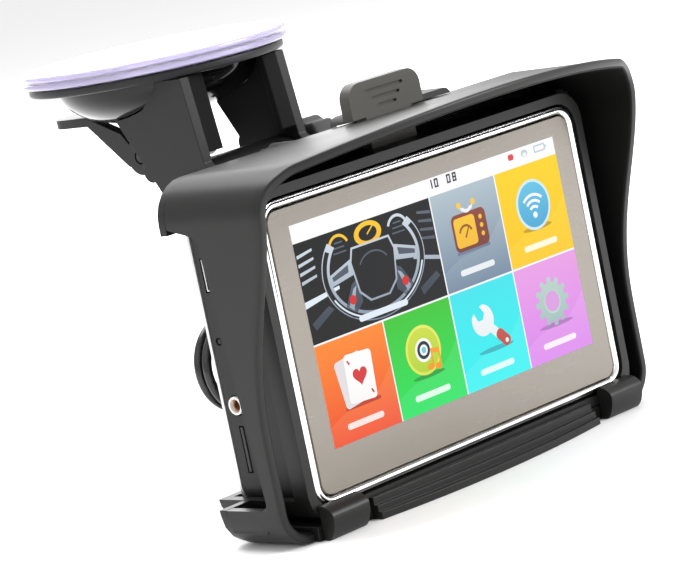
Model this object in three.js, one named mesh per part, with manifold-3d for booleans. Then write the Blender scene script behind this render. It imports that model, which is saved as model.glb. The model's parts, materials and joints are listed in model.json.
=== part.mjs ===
// Portable GPS navigator in a hooded cradle, held under a suction cup.
// Everything is laid out round the navigator: x to the right, y away from the viewer, z up, with
// the centre of its front face at zero. The whole group is then moved so that the centre of the
// suction face is the origin.
import * as THREE from 'three';
import { mergeVertices } from 'three/addons/utils/BufferGeometryUtils.js';
import Module from 'manifold-3d';

const wasm = await Module();
wasm.setup();

// ---------------------------------------------------------------- driving dimensions (mm)
const gap = 0.3;                // between two pieces that touch or slide
const through = 1;              // how far a cutter runs past the face that it opens
const roundSegments = 36;       // facets round the suction cup

// Navigator
const caseWidth = 112.6;
const caseHeight = 73.2;
const caseDepth = 27;
const caseCorner = 5.5;
const caseWall = 1.6;
const trimRim = 2.2;
const trimDepth = 4;
const backPlate = 1.4;
const panelRecess = 0.5;
const panelThickness = 1.7;
const lcdMargin = [4.3, 5.1];   // case edge to the display module, across and up
const lcdThickness = 2.8;
const boardThickness = 1.6;
const boardMargin = 8.6;        // case edge to board edge
const boardBehind = 8.4;        // board's rear face to the case's back
const batterySize = [50, 40, 5.4];
const postInset = 5.8;          // case edge to the axis of a screw post
const postRadius = 2.2;
const speakerRadius = 9;
const speakerPlace = [30, -14];
const antennaSize = [18, 18, 4];
const shieldSize = [30, 25, 2.7];

// Ports on the navigator's left side
const jackRise = 10.8;          // card slot to headphone jack
const jackRingRadius = 2.25;
const jackBore = 1.7;
const usbDrop = 15.8;           // case's top to the USB port
const usbSize = [3.4, 7.8];
const resetRadius = 0.7;
const cardRise = 14.8;          // case's foot to the card slot
const cardSize = [14, 0.8, 11];
const buttonTravel = 0.5;
const buttonSize = [9.4, 2.6];
const buttonPlace = [35, 13.5];

// Cradle tray
const fitGap = 0.6;             // navigator to tray wall
const trayWall = 2.4;
const trayCorner = 7;
const padSpace = 2;             // room for the foam pads behind the navigator
const flangeThickness = 2.2;

// Sun visor
const wingSpace = 8.4;          // tray's side to the outer face of a wing
const hoodSpace = 5.9;          // tray's top to the top of the visor
const footSpace = 3.9;          // tray's underside to the foot of the visor
const visorWall = 2.4;
const visorRear = 20;
const visorTopCorner = 10;
const visorLowCorner = 9;
const hoodRise = 5.5;           // how far the brow's centre stands above the rear edge
const browBow = 19;             // how far the brow's centre stands in front of its ends
const browEnds = -12.7;         // front edge at the top of each side wing
const wingFront = 1.4;          // front edge at the foot of each side wing
const notchInset = [3.6, 3.2];  // case's top and bottom to the ends of the side opening
const notchFront = [10.4, 8, 5.8];  // side opening's front: high, middle, low
const notchReach = 7;           // how far the opening runs in behind the navigator

// Ledge and lips
const ledgeInset = 15.8;        // case's side to the end of the ledge
const ledgeTreads = [[-7, 1.8], [-4.9, 3.4], [-2.9, 5.3]];  // how far forward and how high
const ledgeBow = 0.5;           // share of a tread's reach that is lost at its ends
const lipGap = 4.5;             // end of the ledge to a lip
const lipWidth = 12.2;
const lipOver = 1.4;            // how far a lip overlaps the case's lower edge

// Latch
const tabWidth = 25;
const tabFront = 8;
const tabThickness = 3.4;
const tabRise = 10.5;           // latch tab above the visor's rear edge
const tabCorner = 4;
const latchTravel = 3;
const latchNeck = 16;
const coverEnds = [-9, 27];      // the cover stops short on the left of the latch
const coverHeight = 2.6;

// Suction cup
const cupSetback = 24.8;        // hinge to the axis of the suction cup
const suctionHeight = 69.5;
const gelThickness = 1.7;
const padThickness = 1.6;
const padRadius = 34.8;
const rimRadius = 33.5;
const rimThickness = 2.1;
const domeRadius = 26.5;
const domeDepth = 12.5;
const domeWall = 2;

// Stem and lever
const stemRadius = 3;
const stemHead = 10;
const stemTravel = 2.5;
const leverPinDrop = 7.7;       // dome's apex to the lever's pin
const leverPinRadius = 1.5;
const leverHalfWidth = 12;
const leverPlate = 3;
const leverReach = 33;          // from the pin to the end of the thumb tab
const leverTab = [10.4, 2.4];   // thumb tab's middle above the pin, and its thickness
const leverBoss = 4.8;

// Bracket and its hinge
const hingeSetback = 19.4;      // ball to hinge
const hingeZ = 34;
const cheekHalfWidth = 18.5;
const cheekPlate = 3;
const cheekEnd = 9.6;
const cheekLean = 3.8;         // front edge at the cup
const cheekFlange = 4.9;
const flangeWall = 2;
const boltRadius = 2.5;
const barrelRadius = 7.6;
const knobRadius = 10;
const knobWidth = 10.1;
const knobLobes = 12;

// Ball joint between the bracket and the cradle
const ballClearance = 5.1;      // tray's back to the front of the ball
const ballZ = 28;
const ballRadius = 7.5;
const neckRadius = 4.2;
const mouthClearance = 0.82;    // ball to the collar's mouth
const linerWall = 1.8;
const socketWall = 1.7;
const collarWall = 2.1;
const collarRibs = 20;
const socketBase = [44, 30];
const socketScrewX = 17;
const socketScrewBore = 1.6;

// Captive lead behind the left side
const leadRadius = 1.2;
const leadCentre = [-38, -5];
const leadTurnRadius = 11;
const leadPitch = 3;
const leadTurns = 1.75;
const leadStandOff = 5;         // first turn's distance from the tray's back

// ---------------------------------------------------------------- what follows from them
const halfWidth = caseWidth / 2;
const halfHeight = caseHeight / 2;
const lcdSize = [caseWidth - 2 * lcdMargin[0], caseHeight - 2 * lcdMargin[1]];
const usbHeight = halfHeight - usbDrop;
const cardHeight = cardRise - halfHeight;
const jackHeight = cardHeight + jackRise;
const resetHeight = (jackHeight + usbHeight) / 2 - 0.2;
const frameRear = caseDepth - backPlate - gap;
const boardRear = caseDepth - boardBehind;
const portLine = boardRear + 3.1;
const trayHalfInner = halfWidth + fitGap;
const trayHalfOuter = trayHalfInner + trayWall;
const trayTopInner = halfHeight + fitGap;
const trayTop = trayTopInner + trayWall;
const trayBackInner = caseDepth + padSpace;
const trayBack = trayBackInner + trayWall;
const flangeFront = visorRear + gap;
const visorHalfWidth = trayHalfOuter + wingSpace;
const visorTop = trayTop + hoodSpace;
const visorBottom = -trayTop - footSpace;
const notchTop = halfHeight - notchInset[0];
const notchBottom = notchInset[1] - halfHeight;
const ledgeHalfWidth = halfWidth - ledgeInset;
const lipInner = ledgeHalfWidth + lipGap;
const lipTop = lipOver - halfHeight;
const tabTop = visorTop + tabRise;
const ballY = trayBack + ballClearance + ballRadius;
const hingeY = ballY + hingeSetback;
const cheekFront = hingeY - cheekLean;
const cupAxisY = hingeY + cupSetback;
const rimTop = suctionHeight - gelThickness - padThickness - 2 * gap;
const rimFoot = rimTop - rimThickness;
const domeApex = rimFoot - domeDepth;
const leverPinHeight = domeApex - leverPinDrop;
const tabY = tabFront + tabThickness;
const socketRadius = ballRadius + gap + linerWall + gap + socketWall;
const collarRadius = socketRadius + gap + collarWall;
const leadY = trayBack + leadStandOff;

// ---------------------------------------------------------------- solids
const alongX = new THREE.Vector3(1, 0, 0);
const alongY = new THREE.Vector3(0, 1, 0);
const alongZ = new THREE.Vector3(0, 0, 1);
const extrusionBasis = {
  x: new THREE.Matrix4().makeBasis(alongY, alongZ, alongX),
  y: new THREE.Matrix4().makeBasis(alongX, alongZ, alongY.clone().negate()),
  z: new THREE.Matrix4(),
};
const turningBasis = {
  x: new THREE.Matrix4().makeBasis(alongZ, alongX, alongY),
  y: new THREE.Matrix4(),
  z: new THREE.Matrix4().makeBasis(alongX, alongZ, alongY.clone().negate()),
};

// A closed three.js geometry as a solid with its faces pointing out.
function solid(geometry) {
  geometry.deleteAttribute('normal');
  geometry.deleteAttribute('uv');
  const merged = mergeVertices(geometry, 1e-4);
  const points = merged.attributes.position.array;
  const index = merged.index.array;
  const triangles = [];
  let volume = 0;
  const corner = [new THREE.Vector3(), new THREE.Vector3(), new THREE.Vector3()];
  for (let i = 0; i < index.length; i += 3) {
    const [a, b, c] = [index[i], index[i + 1], index[i + 2]];
    if (a === b || b === c || c === a) {
      continue;
    }
    triangles.push(a, b, c);
    [a, b, c].forEach((vertex, k) => corner[k].fromArray(points, vertex * 3));
    volume += corner[0].dot(corner[1].cross(corner[2]));
  }
  const triVerts = new Uint32Array(volume < 0 ? triangles.reverse() : triangles);
  const mesh = new wasm.Mesh({ numProp: 3, vertProperties: new Float32Array(points), triVerts });
  return new wasm.Manifold(mesh);
}

// An outline pushed along one axis: (y, z) along x, (x, z) along y or (x, y) along z.
function prism(axis, outline, from, to) {
  const shape = new THREE.Shape(outline.map(([u, v]) => new THREE.Vector2(u, v)));
  const geometry = new THREE.ExtrudeGeometry(shape, { depth: to - from, bevelEnabled: false });
  geometry.applyMatrix4(extrusionBasis[axis]);
  const start = { x: [from, 0, 0], y: [0, to, 0], z: [0, 0, from] }[axis];
  return solid(geometry.translate(...start));
}

// A profile of [radius, height] pairs turned about one axis through a point.
function turned(axis, profile, centre, segments = 32) {
  const geometry = new THREE.LatheGeometry(profile.map(([r, h]) => new THREE.Vector2(r, h)), segments);
  return solid(geometry.applyMatrix4(turningBasis[axis]).translate(...centre));
}

function circle(u, v, radius, segments = 24) {
  return Array.from({ length: segments }, (_, i) => {
    const angle = (2 * Math.PI * i) / segments;
    return [u + radius * Math.cos(angle), v + radius * Math.sin(angle)];
  });
}

// Points of an arc in degrees, first and last included.
function arc(u, v, radius, from, to, steps) {
  return Array.from({ length: steps + 1 }, (_, i) => {
    const angle = THREE.MathUtils.degToRad(from + ((to - from) * i) / steps);
    return [u + radius * Math.cos(angle), v + radius * Math.sin(angle)];
  });
}

function roundedBox(width, height, radius, u = 0, v = 0) {
  const [w, h] = [width / 2 - radius, height / 2 - radius];
  return [
    ...arc(u + w, v + h, radius, 0, 90, 4),
    ...arc(u - w, v + h, radius, 90, 180, 4),
    ...arc(u - w, v - h, radius, 180, 270, 4),
    ...arc(u + w, v - h, radius, 270, 360, 4),
  ];
}

function rod(axis, u, v, radius, from, to, segments) {
  return prism(axis, circle(u, v, radius, segments), from, to);
}

function block(x, y, z) {
  return prism('z', [[x[0], y[0]], [x[1], y[0]], [x[1], y[1]], [x[0], y[1]]], z[0], z[1]);
}

function join(first, ...others) {
  return others.reduce((sum, other) => sum.add(other), first);
}

function cut(first, ...others) {
  return others.reduce((rest, other) => rest.subtract(other), first);
}

function mirrored(pairs) {
  return pairs.map(([u, v]) => [-u, v]).reverse();
}

// ---------------------------------------------------------------- the group of named pieces
const navigatorOnMount = new THREE.Group();
navigatorOnMount.position.set(0, -cupAxisY, -suctionHeight);

const finishes = {
  satinShell: { color: 0x2c2c2b, roughness: 0.5, metalness: 0 },
  darkRubber: { color: 0x191919, roughness: 0.8, metalness: 0 },
  glossBlack: { color: 0x070707, roughness: 0.15, metalness: 0 },
  clearLilac: { color: 0xcfc6ea, roughness: 0.1, metalness: 0 },
  greyPlastic: { color: 0x6e6c67, roughness: 0.45, metalness: 0 },
  bright: { color: 0xe8e8e8, roughness: 0.12, metalness: 1 },
  steel: { color: 0xb5b5b3, roughness: 0.35, metalness: 1 },
  silverShell: { color: 0xd9d9d7, roughness: 0.35, metalness: 0.4 },
  frameGrey: { color: 0x3a3a39, roughness: 0.5, metalness: 0 },
  taupeGlass: { color: 0xa0988f, roughness: 0.15, metalness: 0 },
  greenBoard: { color: 0x1d5a35, roughness: 0.5, metalness: 0 },
  battery: { color: 0x9a9da2, roughness: 0.4, metalness: 0.3 },
  white: { color: 0xf0f0ee, roughness: 0.4, metalness: 0 },
  ceramic: { color: 0xb9a98c, roughness: 0.6, metalness: 0 },
  nylon: { color: 0xe6e2d8, roughness: 0.5, metalness: 0 },
};

function piece(name, finish, shape) {
  const { vertProperties, triVerts } = shape.getMesh();
  const geometry = new THREE.BufferGeometry();
  geometry.setAttribute('position', new THREE.BufferAttribute(vertProperties, 3));
  geometry.setIndex(new THREE.BufferAttribute(triVerts, 1));
  geometry.computeVertexNormals();
  const mesh = new THREE.Mesh(geometry, new THREE.MeshStandardMaterial(finishes[finish]));
  mesh.name = name;
  navigatorOnMount.add(mesh);
}

// ---------------------------------------------------------------- suction cup
function cupProfile(radius, depth, from) {
  const steps = 6;
  return Array.from({ length: steps + 1 }, (_, i) => {
    const r = from + ((radius - from) * i) / steps;
    return [r, rimFoot - depth * Math.sqrt(1 - (r / radius) ** 2)];
  });
}

function dome(extra) {
  const profile = cupProfile(domeRadius + extra, domeDepth + extra, 0);
  return turned('z', [...profile, [0, rimFoot]], [0, cupAxisY, 0], roundSegments);
}

function addSuctionCup() {
  const centre = [0, cupAxisY, 0];
  const edge = 0.5;
  const gelFoot = suctionHeight - gelThickness;
  piece('gel_face', 'clearLilac', turned('z', [
    [0, gelFoot], [padRadius - edge, gelFoot], [padRadius, gelFoot + edge],
    [padRadius, suctionHeight - edge], [padRadius - edge, suctionHeight], [0, suctionHeight],
  ], centre, roundSegments));
  const padFoot = gelFoot - gap - padThickness;
  piece('pad_disc', 'clearLilac', turned('z', [
    [0, padFoot], [padRadius - edge, padFoot], [padRadius, padFoot + edge],
    [padRadius, padFoot + padThickness], [0, padFoot + padThickness],
  ], centre, roundSegments));
  const hole = stemRadius + 2 * gap;
  const outside = cupProfile(domeRadius, domeDepth, hole);
  const inside = cupProfile(domeRadius - domeWall, domeDepth - domeWall, hole);
  piece('cup_shell', 'glossBlack', turned('z', [
    ...outside, [rimRadius - edge, rimFoot], [rimRadius, rimFoot + edge], [rimRadius, rimTop],
    [domeRadius - domeWall, rimTop], ...inside.reverse(), outside[0],
  ], centre, roundSegments));
}

// ---------------------------------------------------------------- stem, spring and lever
function addStemAndLever() {
  const headTop = rimTop + gap - stemTravel - gap;
  const headFoot = headTop - 2;
  const eyeHalf = leverHalfWidth - leverPlate - gap;
  piece('pull_stem', 'greyPlastic', cut(
    join(
      rod('z', 0, cupAxisY, stemRadius, leverPinHeight, headFoot + through, 20),
      rod('z', 0, cupAxisY, stemHead, headFoot, headTop, 32),
      rod('x', cupAxisY, leverPinHeight, leverBoss, -eyeHalf, eyeHalf, 20),
    ),
    rod('x', cupAxisY, leverPinHeight, leverPinRadius + gap, -eyeHalf - through, eyeHalf + through, 16),
  ));
  piece('lever_pin', 'steel',
    rod('x', cupAxisY, leverPinHeight, leverPinRadius, -leverHalfWidth, leverHalfWidth, 16));

  const springFoot = domeApex + domeWall + 2 * gap;
  const wire = 0.5;
  piece('stem_spring', 'steel',
    spring([0, cupAxisY], 5, wire, springFoot + wire, headFoot - gap - wire, 3));

  const [tabHeight, tabHalf] = [leverPinHeight + leverTab[0], leverTab[1] / 2];
  const tabStart = cupAxisY + 20.2;
  const tabEnd = cupAxisY + leverReach;
  const side = [
    [cupAxisY + 5.5, leverPinHeight + 6.6], [cupAxisY + 18, tabHeight + tabHalf],
    [tabStart + 2, tabHeight + tabHalf], [tabStart + 2, tabHeight - tabHalf],
    [cupAxisY + 18, tabHeight - tabHalf], [cupAxisY + 4.6, leverPinHeight - 2.4],
    [cupAxisY, leverPinHeight],
  ];
  const plates = [-1, 1].map((hand) => {
    const faces = [hand * (leverHalfWidth - leverPlate), hand * leverHalfWidth].sort((a, b) => a - b);
    return join(
      prism('x', side, ...faces),
      rod('x', cupAxisY, leverPinHeight, leverBoss, ...faces, 20),
    );
  });
  const tab = [
    [-leverHalfWidth, tabStart], [leverHalfWidth, tabStart],
    ...arc(leverHalfWidth - 5, tabEnd - 5, 5, 0, 90, 4),
    ...arc(5 - leverHalfWidth, tabEnd - 5, 5, 90, 180, 4),
  ];
  piece('cam_lever', 'satinShell', cut(
    join(...plates, prism('z', tab, tabHeight - tabHalf, tabHeight + tabHalf)),
    rod('x', cupAxisY, leverPinHeight, leverPinRadius + gap, -leverHalfWidth - through,
      leverHalfWidth + through, 16),
  ));
}

// A helical spring along z with its centre at [x, y].
function spring(centre, radius, wire, from, to, coils) {
  const stepsPerCoil = 10;
  const route = Array.from({ length: coils * stepsPerCoil + 1 }, (_, i) => {
    const angle = (2 * Math.PI * i) / stepsPerCoil;
    return new THREE.Vector3(
      centre[0] + radius * Math.cos(angle),
      centre[1] + radius * Math.sin(angle),
      from + ((to - from) * i) / (coils * stepsPerCoil),
    );
  });
  return tube(route, wire, coils * stepsPerCoil, 5);
}

function tube(route, radius, steps, sides) {
  const section = new THREE.Shape(circle(0, 0, radius, sides).map(([u, v]) => new THREE.Vector2(u, v)));
  const extrudePath = new THREE.CatmullRomCurve3(route);
  return solid(new THREE.ExtrudeGeometry(section, { steps, bevelEnabled: false, extrudePath }));
}

// ---------------------------------------------------------------- bracket cheeks, hinge and knob
function addBracket() {
  const top = rimFoot - gap;
  const inner = cheekHalfWidth - cheekPlate;
  const rear = cupAxisY - 0.7;
  const hingeArc = arc(hingeY, hingeZ, cheekEnd, 131, 328, 16);
  const outline = [[cheekFront, top], ...hingeArc, [rear, rimFoot - 8.5], [rear, top]];
  const slope = (cheekFront - hingeArc[0][0]) / (top - hingeArc[0][1]);
  const flangeFoot = hingeZ + barrelRadius + 2;
  const flangeFootY = cheekFront - slope * (top - flangeFoot);
  const flange = [
    [cheekFront, top], [flangeFootY, flangeFoot], [flangeFootY + flangeWall, flangeFoot],
    [cheekFront + flangeWall, top],
  ];
  for (const [name, hand] of [['left_cheek', -1], ['right_cheek', 1]]) {
    const across = (a, b) => [hand * a, hand * b].sort((p, q) => p - q);
    piece(name, 'satinShell', cut(
      join(
        prism('x', outline, ...across(inner, cheekHalfWidth)),
        prism('x', flange, ...across(inner - cheekFlange, inner + 0.1)),
        rod('x', hingeY + 14.2, hingeZ + 6.2, 2.8, ...across(inner, cheekHalfWidth), 16),
      ),
      dome(gap),
      rod('x', hingeY, hingeZ, boltRadius + gap, ...across(inner - through, cheekHalfWidth + through), 20),
    ));
  }

  const washer = cheekHalfWidth + gap + 0.8;
  piece('hinge_washer', 'steel', cut(
    rod('x', hingeY, hingeZ, 6.5, cheekHalfWidth + gap, washer, 24),
    rod('x', hingeY, hingeZ, boltRadius + gap, cheekHalfWidth, washer + through, 20),
  ));
  const knobFoot = washer + gap;
  const knobEnd = knobFoot + knobWidth;
  const boltEnd = knobEnd - 3;
  piece('hinge_bolt', 'steel', join(
    rod('x', hingeY, hingeZ, boltRadius, -cheekHalfWidth - gap - through, boltEnd, 20),
    rod('x', hingeY, hingeZ, 4.5, -cheekHalfWidth - gap - 2.4, -cheekHalfWidth - gap, 6),
  ));
  const lobed = Array.from({ length: knobLobes * 6 }, (_, i) => {
    const angle = (2 * Math.PI * i) / (knobLobes * 6);
    const radius = knobRadius - 0.5 + 0.5 * Math.cos(knobLobes * angle);
    return [hingeY + radius * Math.cos(angle), hingeZ + radius * Math.sin(angle)];
  });
  piece('clamp_knob', 'darkRubber', cut(
    join(
      prism('x', lobed, knobFoot + 2, knobEnd),
      rod('x', hingeY, hingeZ, knobRadius - 3, knobFoot, knobFoot + 2 + through, 24),
    ),
    rod('x', hingeY, hingeZ, boltRadius + gap, knobFoot - through, boltEnd + gap, 20),
  ));

  const barrel = inner - gap;
  const web = [
    [ballY + 10.5, ballZ + 6], [ballY + 10.5, ballZ - 5.4], [ballY + 14.5, ballZ - 5.4],
    [hingeY + 4, hingeZ - 6.2], [hingeY, hingeZ + 5],
  ];
  const ball = arc(0, 0, ballRadius, -90, 90, 10);
  piece('hinge_knuckle', 'satinShell', cut(
    join(
      rod('x', hingeY, hingeZ, barrelRadius, -barrel, barrel, 28),
      prism('x', web, -8, 8),
      rod('y', 0, ballZ, neckRadius, ballY, ballY + 11, 20),
      turned('y', ball, [0, ballY, ballZ], 20),
    ),
    rod('x', hingeY, hingeZ, boltRadius + gap, -barrel - through, barrel + through, 20),
  ));
}

// ---------------------------------------------------------------- ball joint on the tray's back
function addBallJoint() {
  const centre = [0, ballY, ballZ];
  const cupInner = ballRadius + gap;
  const linerFront = 3.5 - ballRadius;
  const linerRear = ballRadius - 2.9;
  const innerArc = Array.from({ length: 7 }, (_, i) => {
    const h = linerFront + ((linerRear - linerFront) * i) / 6;
    return [Math.sqrt(cupInner ** 2 - h ** 2), h];
  });
  const linerOuter = cupInner + linerWall;
  piece('socket_liner', 'nylon', turned('y', [
    ...innerArc, [linerOuter, linerRear], [linerOuter, linerFront], innerArc[0],
  ], centre, 24));

  const baseFront = trayBack + gap;
  const baseRear = baseFront + 2.3;
  const seat = linerFront - gap;
  const socketInner = linerOuter + gap;
  const socketEnd = linerRear;
  const screwHoles = [-1, 1].map((hand) => rod('y', hand * socketScrewX, ballZ, socketScrewBore,
    baseFront - through, baseRear + through, 16));
  const floor = baseRear + 2 - ballY;
  piece('ball_socket', 'satinShell', cut(
    join(
      prism('y', roundedBox(...socketBase, 4, 0, ballZ), baseFront, baseRear),
      turned('y', [
        [0, baseRear - 1 - ballY], [socketRadius, baseRear - 1 - ballY], [socketRadius, socketEnd],
        [socketInner, socketEnd], [socketInner, seat], [cupInner + 0.4, seat], [cupInner + 0.4, floor],
        [0, floor],
      ], centre, 28),
    ),
    ...screwHoles,
  ));

  const capFoot = linerRear + gap;
  const collarFoot = baseRear + 3 - ballY;
  const mouth = Math.sqrt(ballRadius ** 2 - capFoot ** 2) + mouthClearance;
  const ribbed = Array.from({ length: collarRibs * 4 }, (_, i) => {
    const angle = (2 * Math.PI * i) / (collarRibs * 4);
    const radius = collarRadius - (i % 4 < 2 ? 0 : 0.5);
    return [radius * Math.cos(angle), ballZ + radius * Math.sin(angle)];
  });
  piece('collar_nut', 'darkRubber', cut(
    prism('y', ribbed, ballY + collarFoot, ballY + capFoot + 1.7),
    rod('y', 0, ballZ, socketRadius + gap, ballY + collarFoot - through, ballY + capFoot, 28),
    rod('y', 0, ballZ, mouth, ballY, ballY + capFoot + 1.7 + through, 24),
  ));

  [-1, 1].forEach((hand, i) => piece(`socket_screw_${i + 1}`, 'steel', join(
    rod('y', hand * socketScrewX, ballZ, socketScrewBore - gap, trayBackInner + gap,
      baseRear + gap + 0.5, 12),
    rod('y', hand * socketScrewX, ballZ, 2.6, baseRear + gap, baseRear + gap + 1.6, 16),
  )));
}

// ---------------------------------------------------------------- sun visor
function smooth(from, to, value) {
  return THREE.MathUtils.smoothstep(value, from, to);
}

// The visor's section seen from the front, from its left foot over the top to its right foot.
function visorPath(inset) {
  const half = visorHalfWidth - inset;
  const top = visorTop - inset;
  const topRadius = visorTopCorner - inset;
  const lowRadius = visorLowCorner - inset;
  const lowCentre = [visorHalfWidth - visorLowCorner, visorBottom + visorLowCorner];
  const topCentre = [visorHalfWidth - visorTopCorner, visorTop - visorTopCorner];
  const rightSide = Array.from({ length: 9 }, (_, i) =>
    [half, lowCentre[1] + ((topCentre[1] - lowCentre[1]) * (i + 0.5)) / 9]);
  const overTop = Array.from({ length: 13 }, (_, i) => [topCentre[0] * (1 - (2 * (i + 0.5)) / 13), top]);
  const right = [
    ...arc(...lowCentre, lowRadius, 270, 360, 4),
    ...rightSide,
    ...arc(...topCentre, topRadius, 0, 90, 6),
  ];
  return [...right, ...overTop, ...mirrored(right)];
}

// Front edge of the wings and brow at a point of the section.
function visorFront(x, z) {
  const along = THREE.MathUtils.clamp((z + 20) / 60, 0, 1) ** 1.25;
  const wing = wingFront + (browEnds - wingFront) * smooth(0, 1, along);
  const nearTop = smooth(visorTop - 15.5, visorTop - 2, z);
  const bow = browBow * Math.max(0, 1 - (x / visorHalfWidth) ** 2) * nearTop;
  return wing - bow;
}

// An outline of the section drawn out from the rear edge to the swept front edge.
function visorLoft(outline) {
  const steps = 4;
  const shape = new THREE.Shape(outline.map(([u, v]) => new THREE.Vector2(u, v)));
  const geometry = new THREE.ExtrudeGeometry(shape, { depth: 1, steps, bevelEnabled: false });
  const place = geometry.attributes.position;
  for (let i = 0; i < place.count; i += 1) {
    const [x, z, forward] = [place.getX(i), place.getY(i), place.getZ(i)];
    const nearTop = smooth(visorTop - 14.5, visorTop - 3, z);
    const rise = hoodRise * Math.max(0, 1 - (x / (visorHalfWidth - 6)) ** 2) * nearTop;
    place.setXYZ(i, x, visorRear + (visorFront(x, z) - visorRear) * forward, z + rise * forward);
  }
  return solid(geometry);
}

function visorBlock() {
  return visorLoft(visorPath(0));
}

const visorScrewPlaces = [
  [visorHalfWidth - 5.5, visorTop - 8], [5.5 - visorHalfWidth, visorTop - 8],
  [visorHalfWidth - 5.7, visorBottom + 5.2], [5.7 - visorHalfWidth, visorBottom + 5.2],
];
const visorScrewBore = 1.3;

function sideNotch(from, to, rear) {
  const [high, middle, low] = notchFront;
  return prism('x', [
    [rear, notchBottom], [low + 1.5, notchBottom], [low, notchBottom + 1.5], [middle, 0],
    [high, notchTop - 3], [high + 1.2, notchTop - 0.8], [high + 3.5, notchTop], [rear, notchTop + 1.5],
  ], from, to);
}

function latchSlot(low, high) {
  const half = latchNeck / 2 + 0.4;
  const springHalf = 6;
  return join(
    block([-half, half], [tabFront - 0.4, tabY + 0.4], [low, high]),
    block([-springHalf, springHalf], [tabY, visorRear - 1], [low, high]),
  );
}

function addVisor() {
  const band = [...visorPath(0), ...visorPath(visorWall).reverse()];
  const bosses = visorScrewPlaces.map(([x, z]) => {
    const wall = Math.sign(x) * (visorHalfWidth - 1);
    return join(
      rod('y', x, z, 2.1, 8, visorRear, 16),
      block([Math.min(x, wall), Math.max(x, wall)], [8, visorRear], [z - 0.9, z + 0.9]),
    );
  });
  const bores = visorScrewPlaces.map(([x, z]) =>
    rod('y', x, z, visorScrewBore, 10, visorRear + through, 12));
  piece('sun_visor', 'satinShell', cut(
    join(visorLoft(band), ...bosses),
    ...bores,
    sideNotch(-visorHalfWidth - through, -trayHalfOuter, visorRear + through),
    latchSlot(visorTop - 6, visorTop + 8),
  ));
  visorScrewPlaces.forEach(([x, z], i) => piece(`visor_screw_${i + 1}`, 'steel', join(
    rod('y', x, z, visorScrewBore - gap, 11, flangeFront + flangeThickness + gap + 0.5, 12),
    rod('y', x, z, 2, flangeFront + flangeThickness + gap, flangeFront + flangeThickness + gap + 1.2, 16),
  )));
}

// ---------------------------------------------------------------- cradle tray, ledge and lips
function addTray() {
  const [buttonX, buttonY] = buttonPlace;
  const [windowX, windowY] = [buttonSize[0] / 2 + 3, buttonSize[1] / 2 + 2.7];
  const flange = visorPath(0.4);
  const openings = [
    block([-visorHalfWidth - through, notchReach - halfWidth], [notchFront[2] - 0.8, trayBack + through],
      [notchBottom, notchTop]),
    block([-latchNeck / 2 - 0.4, latchNeck / 2 + 0.4], [tabFront - 0.4, tabY + 0.4],
      [trayTopInner - through, trayTop + through]),
    block([buttonX - windowX, buttonX + windowX], [buttonY - windowY, buttonY + windowY],
      [trayTopInner - through, trayTop + through]),
    ...visorScrewPlaces.map(([x, z]) =>
      rod('y', x, z, visorScrewBore, flangeFront - through, flangeFront + flangeThickness + through, 12)),
    ...[-1, 1].map((hand) =>
      rod('y', hand * socketScrewX, ballZ, socketScrewBore, trayBackInner - through,
        trayBack + through, 16)),
  ];
  piece('cradle_tray', 'satinShell', cut(
    join(
      prism('y', roundedBox(2 * trayHalfOuter, 2 * trayTop, trayCorner), 0, trayBack),
      prism('y', flange, flangeFront, flangeFront + flangeThickness),
    ),
    prism('y', roundedBox(2 * trayHalfInner, 2 * trayTopInner, caseCorner + fitGap), -through,
      trayBackInner),
    ...openings,
  ));

  const [padFront, padRear] = [caseDepth + gap, trayBackInner - gap];
  [-1, 1].forEach((hand, i) => piece(`foam_pad_${i + 1}`, 'darkRubber',
    prism('y', roundedBox(10, 50, 2, hand * 32, 0), padFront, padRear)));
}

function addLedge() {
  const under = -trayTop - gap;
  const tread = ([front, height]) => {
    const bowed = Array.from({ length: 13 }, (_, i) => {
      const share = 1 - i / 6;
      return [ledgeHalfWidth * share, front * (1 - ledgeBow * share ** 2)];
    });
    const rear = [[-ledgeHalfWidth, -gap], [ledgeHalfWidth, -gap]];
    return prism('z', [...rear, ...bowed], visorBottom, visorBottom + height);
  };
  const footHalf = visorHalfWidth - visorLowCorner - gap;
  piece('bottom_ledge', 'satinShell', join(
    ...ledgeTreads.map(tread),
    block([-ledgeHalfWidth, ledgeHalfWidth], [-1, 0.6], [visorBottom, under]),
    block([-footHalf, footHalf], [0, visorRear - gap], [visorBottom, under]),
  ));

  const lip = [
    [-gap, visorBottom], [-gap, lipTop], [-1.7, lipTop - 0.1], [-3.2, lipTop - 0.6],
    [-4.3, lipTop - 1.4], [-4.8, lipTop - 2.5], [-4.7, lipTop - 3.8], [-4.1, lipTop - 5.3],
    [-3.1, lipTop - 6.9], [-1.9, visorBottom],
  ];
  for (const [name, hand] of [['left_lip', -1], ['right_lip', 1]]) {
    const ends = [hand * lipInner, hand * (lipInner + lipWidth)].sort((a, b) => a - b);
    piece(name, 'satinShell', prism('x', lip, ...ends));
  }
}

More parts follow.
